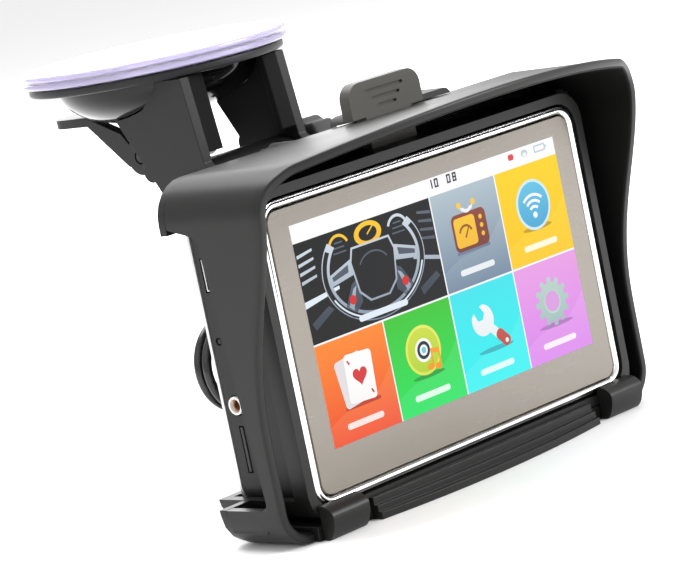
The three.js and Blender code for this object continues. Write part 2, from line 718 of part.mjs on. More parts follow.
// ---------------------------------------------------------------- latch
function addLatch() {
  const tabFoot = visorTop + 1.9;
  const shelf = [trayTop + 0.4, trayTop + 1.6];
  const neck = latchNeck / 2;
  const catchFoot = halfHeight - 1.6;
  const head = [
    [-tabWidth / 2, tabFoot], [tabWidth / 2, tabFoot],
    ...arc(tabWidth / 2 - tabCorner, tabTop - tabCorner, tabCorner, 0, 90, 5),
    ...arc(tabCorner - tabWidth / 2, tabTop - tabCorner, tabCorner, 90, 180, 5),
  ];
  const grooves = [6.6, 5, 3.4].map((half, i) =>
    block([-half, half], [tabFront - 0.2, tabFront + 0.5], [tabTop - 2.9 - 2 * i, tabTop - 2.3 - 2 * i]));
  piece('latch_tab', 'greyPlastic', cut(
    join(
      prism('y', head, tabFront, tabY),
      block([-neck, neck], [tabFront, tabY], [trayTop - 2, tabFoot + through]),
      block([-neck + 2, neck - 2], [tabFront, tabY], [catchFoot, trayTop]),
      block([-5, 5], [tabY - through, visorRear - 2], shelf),
    ),
    ...grooves,
  ));

  const coverTop = visorTop + coverHeight;
  const roof = coverTop - 1.2;
  const [left, right] = coverEnds;
  const corner = 2.5;
  const cover = [
    ...arc(right - corner, coverTop - corner, corner, 0, 90, 3),
    ...arc(left + corner, coverTop - corner, corner, 90, 180, 3),
    [left, visorTop - 2], [right, visorTop - 2],
  ];
  piece('latch_cover', 'darkRubber', cut(
    prism('y', cover, tabY + 0.7, visorRear),
    block([-6, 6], [tabY, visorRear - 1.2], [visorTop - 3, roof]),
    visorBlock().translate([0, 0, gap]),
  ));
  const wire = 0.35;
  const springAxis = [0, (tabY + visorRear) / 2 - 0.4];
  piece('latch_spring', 'steel',
    spring(springAxis, 2.4, wire, shelf[1] + gap + wire, roof - gap - wire, 3));
}

// ---------------------------------------------------------------- captive lead
function addLead() {
  const [cx, cz] = leadCentre;
  const startX = cx + leadTurnRadius + 2.7;
  const lowZ = cz - leadTurnRadius;
  const endY = leadY + leadPitch * leadTurns;
  const endX = cx + leadTurnRadius;
  const endZ = lowZ - 5.7;
  const perTurn = 20;
  const turns = Array.from({ length: leadTurns * perTurn + 1 }, (_, i) => {
    const angle = -Math.PI / 2 - (2 * Math.PI * i) / perTurn;
    return new THREE.Vector3(cx + leadTurnRadius * Math.cos(angle), leadY + (leadPitch * i) / perTurn,
      cz + leadTurnRadius * Math.sin(angle));
  });
  const route = [
    new THREE.Vector3(startX, leadY, lowZ), new THREE.Vector3((startX + cx) / 2, leadY, lowZ),
    ...turns,
    new THREE.Vector3(endX, endY, (cz + endZ) / 2), new THREE.Vector3(endX, endY, endZ),
  ];
  piece('lead', 'darkRubber', tube(route, leadRadius, 48, 8));
  piece('lead_gland', 'satinShell',
    block([startX + gap, startX + 9], [trayBack + gap, leadY + 3], [lowZ - 3.4, lowZ + 3.4]));
  piece('lead_plug', 'darkRubber',
    block([endX - 3.2, endX + 3.2], [trayBack + gap, endY + 2.6], [endZ - 9, endZ - gap]));
  const crown = cz + leadTurnRadius;
  const clear = leadRadius + 2 * gap;
  const firstTop = leadY + leadPitch / 2;
  const lastTop = firstTop + leadPitch;
  piece('lead_clip', 'satinShell', cut(
    block([cx - 2, cx + 2], [trayBack + gap, lastTop + clear + 1.4],
      [crown - clear - 1.4, crown + clear + 1.4]),
    block([cx - 3, cx + 3], [firstTop - clear, lastTop + clear], [crown - clear, crown + clear]),
  ));
}

// ---------------------------------------------------------------- navigator
function caseOutline(inset) {
  return roundedBox(caseWidth - 2 * inset, caseHeight - 2 * inset, caseCorner - Math.min(inset, 2.4));
}

const postPlaces = [[1, 1], [-1, 1], [1, -1], [-1, -1]].map(([a, b]) =>
  [a * (halfWidth - postInset), b * (halfHeight - postInset)]);

function addCase() {
  const flush = 0.2;
  const wall = -halfWidth + flush;
  const side = [wall - through, wall + caseWall + through];
  piece('chrome_trim', 'bright', cut(
    prism('y', caseOutline(0), 0, trimDepth),
    prism('y', caseOutline(trimRim), -through, trimDepth + through),
  ));
  const [usbY, usbZ] = usbSize;
  piece('mid_frame', 'frameGrey', cut(
    prism('y', caseOutline(flush), trimDepth + gap, frameRear),
    prism('y', caseOutline(flush + caseWall), trimDepth, frameRear + through),
    rod('x', portLine, jackHeight, jackRingRadius + gap, ...side, 24),
    block(side, [portLine - usbY / 2 - gap, portLine + usbY / 2 + gap],
      [usbHeight - usbZ / 2 - gap, usbHeight + usbZ / 2 + gap]),
    rod('x', portLine + 1.3, resetHeight, resetRadius + gap, ...side, 12),
    block(side, [portLine - 1.2, portLine + 0.6],
      [cardHeight - cardSize[2] / 2 - gap, cardHeight + cardSize[2] / 2 + gap]),
    block([-latchNeck / 2 + 1.4, latchNeck / 2 - 1.4], [tabFront - 0.6, tabY + 0.6],
      [halfHeight - 2 - gap, halfHeight + through]),
    block([buttonPlace[0] - buttonSize[0] / 2 - gap, buttonPlace[0] + buttonSize[0] / 2 + gap],
      [buttonPlace[1] - buttonSize[1] / 2 - gap, buttonPlace[1] + buttonSize[1] / 2 + gap],
      [halfHeight - caseWall - through, halfHeight + through]),
  ));

  const backFront = caseDepth - backPlate;
  const posts = postPlaces.map(([x, z]) => rod('y', x, z, postRadius, boardRear - 6, backFront + 0.5, 12));
  const bores = postPlaces.map(([x, z]) => join(
    rod('y', x, z, 1.2, boardRear - 7, caseDepth + through, 10),
    rod('y', x, z, 2.1, caseDepth - 0.9, caseDepth + through, 12),
  ));
  const grille = [[0, 0], ...circle(0, 0, 3.6, 6)].map(([x, z]) =>
    rod('y', speakerPlace[0] + x, speakerPlace[1] + z, 0.9, backFront - through, caseDepth + through, 6));
  piece('rear_shell', 'silverShell', cut(
    join(
      prism('y', caseOutline(0), backFront, caseDepth - 0.5),
      prism('y', caseOutline(0.5), backFront, caseDepth),
      ...posts,
    ),
    ...bores,
    ...grille,
  ));
  postPlaces.forEach(([x, z], i) => piece(`case_screw_${i + 1}`, 'steel', join(
    rod('y', x, z, 0.9, boardRear - 5, caseDepth - 0.4, 10),
    rod('y', x, z, 1.8, caseDepth - 0.6, caseDepth - 0.1, 14),
  )));
}

function addInsides() {
  piece('touch_panel', 'taupeGlass',
    prism('y', caseOutline(trimRim + gap), panelRecess, panelRecess + panelThickness));
  const lcdFront = panelRecess + panelThickness + gap;
  piece('lcd_module', 'battery',
    prism('y', roundedBox(...lcdSize, 1), lcdFront, lcdFront + lcdThickness));

  const boardFront = boardRear - boardThickness;
  piece('main_board', 'greenBoard', cut(
    prism('y', roundedBox(caseWidth - 2 * boardMargin, caseHeight - boardMargin, 2), boardFront, boardRear),
    ...postPlaces.map(([x, z]) =>
      rod('y', x, z, postRadius + gap, boardFront - through, boardRear + through, 16)),
  ));
  const [batteryX, batteryZ, batteryY] = batterySize;
  const batteryFront = lcdFront + lcdThickness + 1.5;
  piece('battery_cell', 'battery',
    prism('y', roundedBox(batteryX, batteryZ, 3, -6, -2), batteryFront, batteryFront + batteryY));
  piece('speaker', 'darkRubber',
    rod('y', ...speakerPlace, speakerRadius, boardRear + gap, frameRear - gap, 28));
  const chip = (size, x, z) => [
    [x - size[0] / 2, x + size[0] / 2], [boardRear + gap, boardRear + gap + size[2]],
    [z - size[1] / 2, z + size[1] / 2],
  ];
  piece('gps_antenna', 'ceramic', block(...chip(antennaSize, 33, 15)));
  piece('shield_can', 'steel', block(...chip(shieldSize, 2, 8)));
}

function addPorts() {
  const wallInner = -halfWidth + 0.2 + caseWall;
  const body = wallInner + gap;
  const front = boardRear + gap;
  const jackRear = portLine + jackRingRadius + 0.4;
  piece('audio_jack', 'white', cut(
    join(
      block([body, body + 11], [front, jackRear], [jackHeight - 2.7, jackHeight + 2.7]),
      rod('x', portLine, jackHeight, jackRingRadius, -halfWidth - 0.2, body + through, 24),
    ),
    rod('x', portLine, jackHeight, jackBore, -halfWidth - through, body + 8, 20),
  ));
  const [usbY, usbZ] = usbSize;
  const shell = 0.4;
  const usb = (inset, from, to) => block([from, to],
    [portLine - usbY / 2 + inset, portLine + usbY / 2 - inset],
    [usbHeight - usbZ / 2 + inset, usbHeight + usbZ / 2 - inset]);
  piece('usb_port', 'steel', cut(
    usb(0, -halfWidth + 0.3, body + 8),
    usb(shell, -halfWidth - through, body + 6),
  ));
  const [cardX, cardY, cardZ] = cardSize;
  const cardMiddle = portLine - 0.3;
  const cardSlotHalf = cardZ / 2 + gap;
  piece('card_slot', 'steel', cut(
    block([body, body + cardX], [front, portLine + 1.4],
      [cardHeight - cardSlotHalf - 0.8, cardHeight + cardSlotHalf + 0.8]),
    block([body - through, body + cardX - 1], [cardMiddle - cardY / 2 - gap, cardMiddle + cardY / 2 + gap],
      [cardHeight - cardSlotHalf, cardHeight + cardSlotHalf]),
  ));
  const cardOut = -halfWidth + 0.1;
  piece('memory_card', 'darkRubber', block([cardOut, cardOut + cardX],
    [cardMiddle - cardY / 2, cardMiddle + cardY / 2], [cardHeight - cardZ / 2, cardHeight + cardZ / 2]));
  piece('reset_button', 'frameGrey', join(
    rod('x', portLine + 1.3, resetHeight, resetRadius, -halfWidth + 0.4, body + 0.5, 12),
    rod('x', portLine + 1.3, resetHeight, 1.4, body, body + 1, 16),
  ));
  const [buttonX, buttonY] = buttonPlace;
  const [buttonLength, buttonWidth] = buttonSize;
  const capFoot = halfHeight - 0.2 - caseWall - 0.4 - 1.2;
  const span = (middle, size) => [middle - size / 2, middle + size / 2];
  piece('power_button', 'greyPlastic', join(
    block(span(buttonX, buttonLength), span(buttonY, buttonWidth),
      [capFoot, halfHeight + buttonTravel - 0.1]),
    block(span(buttonX, buttonLength + 2.4), span(buttonY, buttonWidth + 1.6), [capFoot, capFoot + 1.2]),
  ));
}

addSuctionCup();
addStemAndLever();
addBracket();
addBallJoint();
addVisor();
addTray();
addLedge();
addLatch();
addLead();
addCase();
addInsides();
addPorts();

export default navigatorOnMount;
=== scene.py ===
"""Portable GPS navigator in its hooded cradle, hung under a suction cup.

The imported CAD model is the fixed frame. This script gives every piece its finish and builds the
pieces whose surface needs more than the frame holds. Sizes in the mesh code are millimetres
measured from the centre of the navigator's face, x to the right, y away from the viewer, z up.
"""
import json
import math

import bmesh
import bpy
from bpy.props import FloatProperty, FloatVectorProperty, IntProperty, PointerProperty
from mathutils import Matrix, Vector

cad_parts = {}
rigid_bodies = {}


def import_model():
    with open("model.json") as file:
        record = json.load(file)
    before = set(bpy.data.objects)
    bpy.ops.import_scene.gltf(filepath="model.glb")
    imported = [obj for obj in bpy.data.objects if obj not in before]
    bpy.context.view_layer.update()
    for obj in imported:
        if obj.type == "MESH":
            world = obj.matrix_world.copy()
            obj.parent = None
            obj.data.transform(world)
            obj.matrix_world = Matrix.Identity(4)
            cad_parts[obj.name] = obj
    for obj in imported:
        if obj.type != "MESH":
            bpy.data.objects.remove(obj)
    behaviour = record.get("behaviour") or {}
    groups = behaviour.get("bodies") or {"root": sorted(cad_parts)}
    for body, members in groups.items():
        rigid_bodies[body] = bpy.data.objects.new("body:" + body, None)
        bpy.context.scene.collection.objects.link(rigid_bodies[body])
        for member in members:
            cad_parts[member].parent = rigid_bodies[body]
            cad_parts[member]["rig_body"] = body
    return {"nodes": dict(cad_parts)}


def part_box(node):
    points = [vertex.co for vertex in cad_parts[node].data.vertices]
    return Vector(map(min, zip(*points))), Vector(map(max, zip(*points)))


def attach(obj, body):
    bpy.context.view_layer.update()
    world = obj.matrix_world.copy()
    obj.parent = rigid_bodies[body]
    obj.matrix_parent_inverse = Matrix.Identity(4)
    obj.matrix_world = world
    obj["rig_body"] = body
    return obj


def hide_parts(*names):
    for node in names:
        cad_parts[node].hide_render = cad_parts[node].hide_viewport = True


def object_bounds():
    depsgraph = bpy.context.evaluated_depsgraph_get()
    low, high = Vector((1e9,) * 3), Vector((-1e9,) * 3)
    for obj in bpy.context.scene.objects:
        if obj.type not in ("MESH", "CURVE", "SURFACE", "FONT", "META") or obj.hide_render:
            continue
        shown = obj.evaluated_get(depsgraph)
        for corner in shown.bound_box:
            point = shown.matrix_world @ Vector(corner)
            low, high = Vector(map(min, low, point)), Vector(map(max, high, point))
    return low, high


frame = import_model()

bl_info = {
    "name": "Hooded Navigator",
    "version": (1, 0, 0),
    "blender": (4, 5, 0),
    "location": "View3D > Sidebar > Navigator",
    "description": "Builds a navigator in a hooded cradle on a suction mount round its CAD frame",
    "category": "Object",
}

MM = 0.001
CAD_BOX = [list(corner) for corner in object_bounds()]
NODES = frame["nodes"]
BODY_OF = {name: node["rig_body"] for name, node in NODES.items()}
TRIM_LOW, TRIM_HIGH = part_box("chrome_trim")
FACE = Vector((0, TRIM_LOW.y, (TRIM_LOW.z + TRIM_HIGH.z) / 2))


def span(node):
    """Lowest and highest corner of a CAD node in millimetres from the centre of the face."""
    return [(corner - FACE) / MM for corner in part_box(node)]


# ------------------------------------------------------------------ shader maths
class Value:
    """A shader socket. Arithmetic on it adds Math nodes to the same material."""

    def __init__(self, shader, socket):
        self.shader = shader
        self.socket = socket

    def _math(self, operation, first, second):
        return self.shader.node("ShaderNodeMath", {"operation": operation}, {0: first, 1: second})

    def __add__(self, other):
        return self._math("ADD", self, other)

    def __radd__(self, other):
        return self._math("ADD", other, self)

    def __sub__(self, other):
        return self._math("SUBTRACT", self, other)

    def __rsub__(self, other):
        return self._math("SUBTRACT", other, self)

    def __mul__(self, other):
        return self._math("MULTIPLY", self, other)

    def __rmul__(self, other):
        return self._math("MULTIPLY", other, self)

    def __truediv__(self, other):
        return self._math("DIVIDE", self, other)

    def __pow__(self, other):
        return self._math("POWER", self, other)

    def __gt__(self, other):
        return self._math("GREATER_THAN", self, other)

    def __lt__(self, other):
        return self._math("LESS_THAN", self, other)


class Shader:
    """One material, made a node at a time."""

    def __init__(self, name):
        self.material = bpy.data.materials.new(name)
        self.material.use_nodes = True
        self.tree = self.material.node_tree
        self.tree.nodes.clear()

    def node(self, kind, settings=None, sockets=None, output=0):
        made = self.tree.nodes.new(kind)
        for key, setting in (settings or {}).items():
            if key == "stops":
                ramp = made.color_ramp
                while len(ramp.elements) < len(setting):
                    ramp.elements.new(0.5)
                for element, (place, colour) in zip(ramp.elements, setting):
                    element.position = place
                    element.color = (*colour, 1)
            else:
                setattr(made, key, setting)
        for key, value in (sockets or {}).items():
            if isinstance(value, Value):
                self.tree.links.new(value.socket, made.inputs[key])
            else:
                made.inputs[key].default_value = value
        return Value(self, made.outputs[output] if made.outputs else None)

    def place(self, output="Object"):
        return self.node("ShaderNodeTexCoord", output=output)

    def axis(self, name, output="Object"):
        return self.node("ShaderNodeSeparateXYZ", sockets={0: self.place(output)}, output=name)

    def noise(self, size, detail=2.0, roughness=0.5, distortion=0.0):
        """Smooth unevenness whose features are about that many millimetres across."""
        return self.node("ShaderNodeTexNoise", sockets={
            "Vector": self.place(), "Scale": 1 / (size * MM), "Detail": detail,
            "Roughness": roughness, "Distortion": distortion,
        })

    def streaks(self, size, stretch):
        """Noise drawn out along x, as brushing or a tool leaves it."""
        place = self.node("ShaderNodeMapping", sockets={"Vector": self.place(), "Scale": stretch})
        return self.node("ShaderNodeTexNoise", sockets={
            "Vector": place, "Scale": 1 / (size * MM), "Detail": 3.0,
        })

    def cells(self, size):
        return self.node("ShaderNodeTexVoronoi", sockets={
            "Vector": self.place(), "Scale": 1 / (size * MM),
        })

    def ramp(self, value, *stops):
        return self.node("ShaderNodeValToRGB", {"stops": stops}, {0: value})

    def blend(self, factor, first, second):
        first, second = (c if isinstance(c, Value) else (*c, 1) for c in (first, second))
        return self.node("ShaderNodeMix", {"data_type": "RGBA"}, {0: factor, 6: first, 7: second}, 2)

    def bump(self, height, depth, strength=1.0):
        """A normal from a height of 0 to 1 that is that many millimetres deep."""
        return self.node("ShaderNodeBump", sockets={
            "Height": height, "Distance": depth * MM, "Strength": strength,
        })

    def surface(self, sockets):
        skin = self.node("ShaderNodeBsdfPrincipled", sockets={
            key: (*value, 1) if isinstance(value, (tuple, list)) else value
            for key, value in sockets.items()
        })
        self.node("ShaderNodeOutputMaterial", sockets={"Surface": skin})
        return self.material


def linear(red, green, blue):
    """A screen colour of 0 to 255 as the linear colour that shaders take."""
    return tuple(((c / 255 + 0.055) / 1.055) ** 2.4 if c > 10 else c / 255 / 12.92
                 for c in (red, green, blue))


# ------------------------------------------------------------------ finishes
def spark_eroded(name, colour, size, rough, shine=0.5, coat=0.0):
    """Moulded plastic from a spark-eroded tool: a fine even grain with broad, faint clouding."""
    s = Shader(name)
    grain = s.noise(size, 3.0, 0.6)
    pits = s.cells(size * 1.6)
    cloud = s.noise(26, 3.0)
    worn = [min(1, c * 1.35 + 0.002) for c in colour]
    tint = s.blend(cloud * 0.7 + grain * 0.3, colour, worn)
    return s.surface({
        "Base Color": tint,
        "Roughness": rough - 0.07 + cloud * 0.1 + grain * 0.05,
        "Specular IOR Level": shine,
        "Coat Weight": coat,
        "Coat Roughness": 0.2,
        "Normal": s.bump(grain * 0.6 + pits * 0.4, 0.02, 0.5),
    })


def satin_shell_finish(shell):
    return spark_eroded("satin_shell", tuple(shell.shell_colour), shell.grain_size / MM, 0.38, 0.3)


def cheek_with_painted_shade_finish(shell):
    """Shell plastic whose inner side, between the two cheeks, is rougher and painted nearly black as
    painted shade.
    """
    s = Shader("cheek")
    grain = s.noise(shell.grain_size / MM, 3.0, 0.6)
    cloud = s.noise(26, 3.0)
    colour = tuple(shell.shell_colour)
    # painted shade: between the cheeks, where shade falls, the colour is painted nearly black
    inside = s.axis("X") * s.axis("X") < (15.6 * MM) ** 2
    outer = s.blend(cloud * 0.7 + grain * 0.3, colour, [c * 1.35 + 0.002 for c in colour])
    return s.surface({
        "Base Color": s.blend(inside, outer, (0.001, 0.001, 0.001)),
        "Roughness": 0.38 + cloud * 0.1 + grain * 0.05 + inside * 0.42,
        "Specular IOR Level": 0.3,
        "Normal": s.bump(grain, 0.02, 0.5),
    })


def blackened_steel_finish():
    """Hinge pin blackened in oil, stained lighter in uneven patches."""
    s = Shader("blackened_steel")
    stain = s.noise(1.5, 4.0, 0.6)
    return s.surface({
        "Base Color": s.blend(stain, (0.012, 0.012, 0.012), (0.05, 0.05, 0.05)),
        "Metallic": 0.6,
        "Roughness": 0.35 + stain * 0.2,
        "Normal": s.bump(stain, 0.02, 0.4),
    })


def painted_shade_inside_finish(shell):
    """The same plastic with the coarser grain of the tool's core side and little shine, darkened to nearly
    black as painted shade for the visor's inner faces.
    """
    # painted shade: the shell colour at 0.45 stands in for the shade inside the visor
    colour = [c * 0.45 for c in shell.shell_colour]
    return spark_eroded("shell_inside_painted_shade", colour, shell.grain_size / MM * 1.6, 0.62, 0.14)


def gloss_dome_finish(cup):
    """Polished black dome that turns to satin rubber on its rim."""
    s = Shader("gloss_dome")
    rim = s.axis("Z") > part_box("cup_shell")[1].z - 2.4 * MM
    swirl = s.noise(14, 4.0, 0.55, 0.6)
    dust = s.noise(0.5, 4.0, 0.7) > 0.72
    tint = s.blend(rim, tuple(cup.dome_colour), tuple(cup.rim_colour))
    return s.surface({
        "Base Color": s.blend(dust * 0.1, tint, (0.3, 0.3, 0.3)),
        "Roughness": 0.09 + swirl * 0.05 + rim * 0.26,
        "Specular IOR Level": 0.25,
        "Coat Weight": 0.1 - rim * 0.08,
        "Coat Roughness": 0.05,
        "Normal": s.bump(swirl, 0.02, 0.25),
    })


def clear_gel_finish(cup):
    """Soft clear gel with a violet cast that gathers at the edge."""
    s = Shader("clear_gel")
    low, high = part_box("gel_face")
    centre = (low + high) / 2
    dx = s.axis("X") - centre.x
    dy = s.axis("Y") - centre.y
    radius = (dx * dx + dy * dy) ** 0.5 / (high.x - centre.x)
    ripple = s.noise(6, 3.0, 0.5, 0.4)
    edge = s.ramp(radius + ripple * 0.03, (0.0, (0, 0, 0)), (0.965, (0.03, 0.03, 0.03)), (1.0, (1, 1, 1)))
    return s.surface({
        "Base Color": s.blend(edge, tuple(cup.gel_colour), tuple(cup.gel_edge_colour)),
        "Roughness": 0.07 + ripple * 0.06,
        "IOR": 1.42,
        "Transmission Weight": 0.55,
        "Coat Weight": 0.4,
        "Coat Roughness": 0.06,
        "Normal": s.bump(ripple, 0.06, 0.3),
    })


def grey_plastic_finish(shell):
    return spark_eroded("grey_plastic", tuple(shell.latch_colour), shell.grain_size / MM * 0.9, 0.42, 0.4)


def black_rubber_finish():
    """Dull black rubber with a faint chalky bloom in random patches."""
    s = Shader("black_rubber")
    grain = s.noise(0.25, 4.0, 0.65)
    bloom = s.noise(7, 3.0)
    return s.surface({
        "Base Color": s.blend(bloom * 0.6 + grain * 0.2, (0.010, 0.010, 0.010), (0.030, 0.030, 0.029)),
        "Roughness": 0.52 + bloom * 0.2,
        "Sheen Weight": 0.12,
        "Normal": s.bump(grain, 0.03, 0.5),
    })


def lead_jacket_finish():
    """Glossy black cable jacket, very slightly uneven along its length."""
    s = Shader("lead_jacket")
    wave = s.noise(3.5, 2.0)
    return s.surface({
        "Base Color": s.blend(wave, (0.006, 0.006, 0.006), (0.016, 0.016, 0.017)),
        "Roughness": 0.16 + wave * 0.12,
        "Normal": s.bump(wave, 0.05, 0.3),
    })


def bright_trim_finish():
    """Bright plated rim with faint polishing marks."""
    s = Shader("bright_trim")
    marks = s.streaks(0.35, (0.05, 1, 1))
    haze = s.noise(9, 3.0)
    return s.surface({
        "Base Color": s.blend(haze, (0.78, 0.78, 0.79), (0.93, 0.93, 0.93)),
        "Metallic": 1.0,
        "Roughness": 0.1 + marks * 0.08 + haze * 0.05,
        "Normal": s.bump(marks, 0.006, 0.3),
    })


def steel_finish():
    s = Shader("steel")
    lines = s.streaks(0.12, (1, 0.06, 1))
    stain = s.noise(4, 3.0)
    return s.surface({
        "Base Color": s.blend(stain, (0.42, 0.42, 0.42), (0.62, 0.61, 0.6)),
        "Metallic": 1.0,
        "Roughness": 0.24 + lines * 0.14 + stain * 0.08,
        "Normal": s.bump(lines, 0.008, 0.4),
    })


def silver_shell_finish():
    """Silver paint with fine metal flake under a thin clear coat."""
    s = Shader("silver_shell")
    flake = s.cells(0.12)
    cloud = s.noise(20, 2.0)
    return s.surface({
        "Base Color": s.blend(flake * 0.7 + cloud * 0.3, (0.5, 0.5, 0.51), (0.78, 0.78, 0.78)),
        "Metallic": 0.7,
        "Roughness": 0.3 + flake * 0.12,
        "Coat Weight": 0.3,
        "Coat Roughness": 0.1,
        "Normal": s.bump(flake, 0.005, 0.3),
    })


def case_grey_finish(shell):
    return spark_eroded("case_grey", tuple(shell.case_colour), shell.grain_size / MM * 0.8, 0.5, 0.3)


def screen_glass_finish(screen):
    """Bezel print under the touch panel's face: taupe with fine pearl and a few wiped marks."""
    s = Shader("screen_glass")
    pearl = s.cells(0.09)
    wiped = s.streaks(5, (0.25, 1, 1))
    return s.surface({
        "Base Color": s.blend(pearl * 0.6 + wiped * 0.4,
                              tuple(screen.bezel_dark), tuple(screen.bezel_light)),
        "Roughness": 0.2 + wiped * 0.12,
        "Coat Weight": 0.5,
        "Coat Roughness": 0.06,
        "Normal": s.bump(wiped, 0.004, 0.2),
    })


def display_can_finish():
    """Folded metal can of the display module with a foil film."""
    s = Shader("lcd")
    film = s.streaks(0.8, (0.1, 1, 1))
    return s.surface({
        "Base Color": s.blend(film, (0.33, 0.34, 0.36), (0.5, 0.5, 0.52)),
        "Metallic": 0.8,
        "Roughness": 0.3 + film * 0.2,
        "Normal": s.bump(film, 0.01, 0.4),
    })


def board_finish():
    """Green solder mask over copper runs, with plated pads."""
    s = Shader("board")
    brick = s.node("ShaderNodeTexBrick", {"offset": 0.5, "squash": 1.4}, {
        "Vector": s.node("ShaderNodeMapping", sockets={
            "Vector": s.place(), "Rotation": (math.pi / 2, 0, 0)}),
        "Scale": 260.0, "Mortar Size": 0.03, "Color1": (0, 0, 0, 1), "Color2": (0, 0, 0, 1),
        "Mortar": (1, 1, 1, 1),
    })
    pads = s.cells(2.4) < 0.16
    weave = s.noise(0.5, 2.0)
    runs = s.blend(brick, (0.008, 0.07, 0.024), (0.02, 0.17, 0.06))
    return s.surface({
        "Base Color": s.blend(pads, runs, (0.75, 0.6, 0.3)),
        "Metallic": pads * 0.9,
        "Roughness": 0.35 + weave * 0.2,
        "Normal": s.bump(weave * 0.3 + pads * 0.7, 0.03, 0.5),
    })


def battery_finish():
    """Aluminised pouch with shallow wrinkles and a tape band."""
    s = Shader("battery")
    crease = s.noise(5, 5.0, 0.6, 1.2)
    low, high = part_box("battery_cell")
    band = s.axis("Z") > low.z + 0.8 * (high.z - low.z)
    return s.surface({
        "Base Color": s.blend(band, (0.42, 0.43, 0.45), (0.6, 0.42, 0.05)),
        "Metallic": 0.75 - band * 0.75,
        "Roughness": 0.3 + crease * 0.2,
        "Normal": s.bump(crease, 0.25, 0.5),
    })


def white_plastic_finish():
    s = Shader("white_plastic")
    grain = s.noise(0.4, 3.0)
    age = s.noise(6, 2.0)
    return s.surface({
        "Base Color": s.blend(age, (0.74, 0.74, 0.72), (0.86, 0.86, 0.84)),
        "Roughness": 0.32 + grain * 0.12,
        "Normal": s.bump(grain, 0.01, 0.4),
    })


def ceramic_finish():
    """Fired ceramic of the antenna patch; its silvered square is not drawn."""
    s = Shader("ceramic")
    speckle = s.noise(0.3, 4.0, 0.7)
    return s.surface({
        "Base Color": s.blend(speckle, (0.36, 0.3, 0.2), (0.56, 0.48, 0.36)),
        "Roughness": 0.55 + speckle * 0.15,
        "Normal": s.bump(speckle, 0.03, 0.5),
    })


def nylon_finish():
    """Natural nylon: milky, with flow marks."""
    s = Shader("nylon")
    flow = s.noise(5, 3.0, 0.5, 1.0)
    return s.surface({
        "Base Color": s.blend(flow, (0.64, 0.61, 0.53), (0.78, 0.76, 0.69)),
        "Roughness": 0.38 + flow * 0.14,
        "Subsurface Weight": 0.1,
        "Subsurface Scale": 0.002,
        "Normal": s.bump(flow, 0.02, 0.4),
    })


def foam_finish():
    """Closed-cell foam, black and pitted."""
    s = Shader("foam")
    pores = s.cells(0.5)
    return s.surface({
        "Base Color": s.blend(pores, (0.012, 0.012, 0.012), (0.05, 0.05, 0.05)),
        "Roughness": 0.85 + pores * 0.1,
        "Sheen Weight": 0.2,
        "Normal": s.bump(pores, 0.2, 0.7),
    })


def copper_finish():
    """Sprung copper contact."""
    s = Shader("copper_contact")
    tarnish = s.noise(0.7, 3.0)
    return s.surface({
        "Base Color": s.blend(tarnish, (0.45, 0.16, 0.07), (0.8, 0.42, 0.25)),
        "Metallic": 1.0,
        "Roughness": 0.22 + tarnish * 0.2,
    })


def studio_floor_finish(studio):
    """Pale matt board."""
    s = Shader("studio_floor")
    fibre = s.noise(2.0, 4.0, 0.6)
    pale = tuple(studio.floor_colour)
    return s.surface({
        "Base Color": s.blend(fibre, pale, tuple(c * 0.985 for c in pale)),
        "Roughness": 0.75 + fibre * 0.1,
        "Normal": s.bump(fibre, 0.01, 0.2),
    })


def ink(screen, name, first, second=None, axis="Z", glow=1.0):
    """A lit area of the display, shading from one colour to the other along an axis."""
    s = Shader("lit_" + name)
    run = s.axis(axis, "Generated")
    weave = s.noise(0.25, 1.0)
    colour = s.blend(run * 0.96 + weave * 0.04, linear(*first), linear(*(second or first)))
    return s.surface({
        "Base Color": (0.01, 0.01, 0.01),
        "Emission Color": colour,
        "Emission Strength": screen.brightness * glow,
        "Specular IOR Level": 0.08,
        "Roughness": 0.16 + weave * 0.04,
    })


FINISHES = {}


def finish(slot):
    """The shared material of a slot, made the first time it is asked for."""
    if slot not in FINISHES:
        scene = bpy.context.scene
        shell, cup, screen = scene.navigator_shell, scene.navigator_cup, scene.navigator_screen
        makers = {
            "satin_shell": lambda: satin_shell_finish(shell),
            "shell_inside_painted_shade": lambda: painted_shade_inside_finish(shell),
            "cheek": lambda: cheek_with_painted_shade_finish(shell),
            "blackened_steel": blackened_steel_finish,
            "gloss_dome": lambda: gloss_dome_finish(cup),
            "clear_gel": lambda: clear_gel_finish(cup),
            "grey_plastic": lambda: grey_plastic_finish(shell),
            "black_rubber": black_rubber_finish,
            "lead_jacket": lead_jacket_finish,
            "bright_trim": bright_trim_finish,
            "steel": steel_finish,
            "silver_shell": silver_shell_finish,
            "case_grey": lambda: case_grey_finish(shell),
            "screen_glass": lambda: screen_glass_finish(screen),
            "lcd": display_can_finish,
            "board": board_finish,
            "battery": battery_finish,
            "white_plastic": white_plastic_finish,
            "ceramic": ceramic_finish,
            "nylon": nylon_finish,
            "foam": foam_finish,
            "copper": copper_finish,
        }
        FINISHES[slot] = makers[slot]()
    return FINISHES[slot]


# ------------------------------------------------------------------ mesh work
def link(name, data):
    made = bpy.data.objects.new(name, data)
    bpy.context.scene.collection.objects.link(made)
    return made


def shade_by_angle(bm, crease):
    for face in bm.faces:
        face.smooth = True
    for edge in bm.edges:
        edge.smooth = len(edge.link_faces) == 2 and edge.calc_face_angle(0) < math.radians(crease)


def add_piece(name, bm, body, slot, stands_for=(), materials=None, crease=32.0):
    """A mesh in millimetres becomes a piece that rides on a body."""
    bmesh.ops.recalc_face_normals(bm, faces=bm.faces)
    for vert in bm.verts:
        vert.co = FACE + vert.co * MM
    shade_by_angle(bm, crease)
    mesh = bpy.data.meshes.new(name)
    bm.to_mesh(mesh)
    bm.free()
    made = link(name, mesh)
    for material in materials or [finish(slot)]:
        mesh.materials.append(material)
    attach(made, body)
    if stands_for:
        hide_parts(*stands_for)
    return made


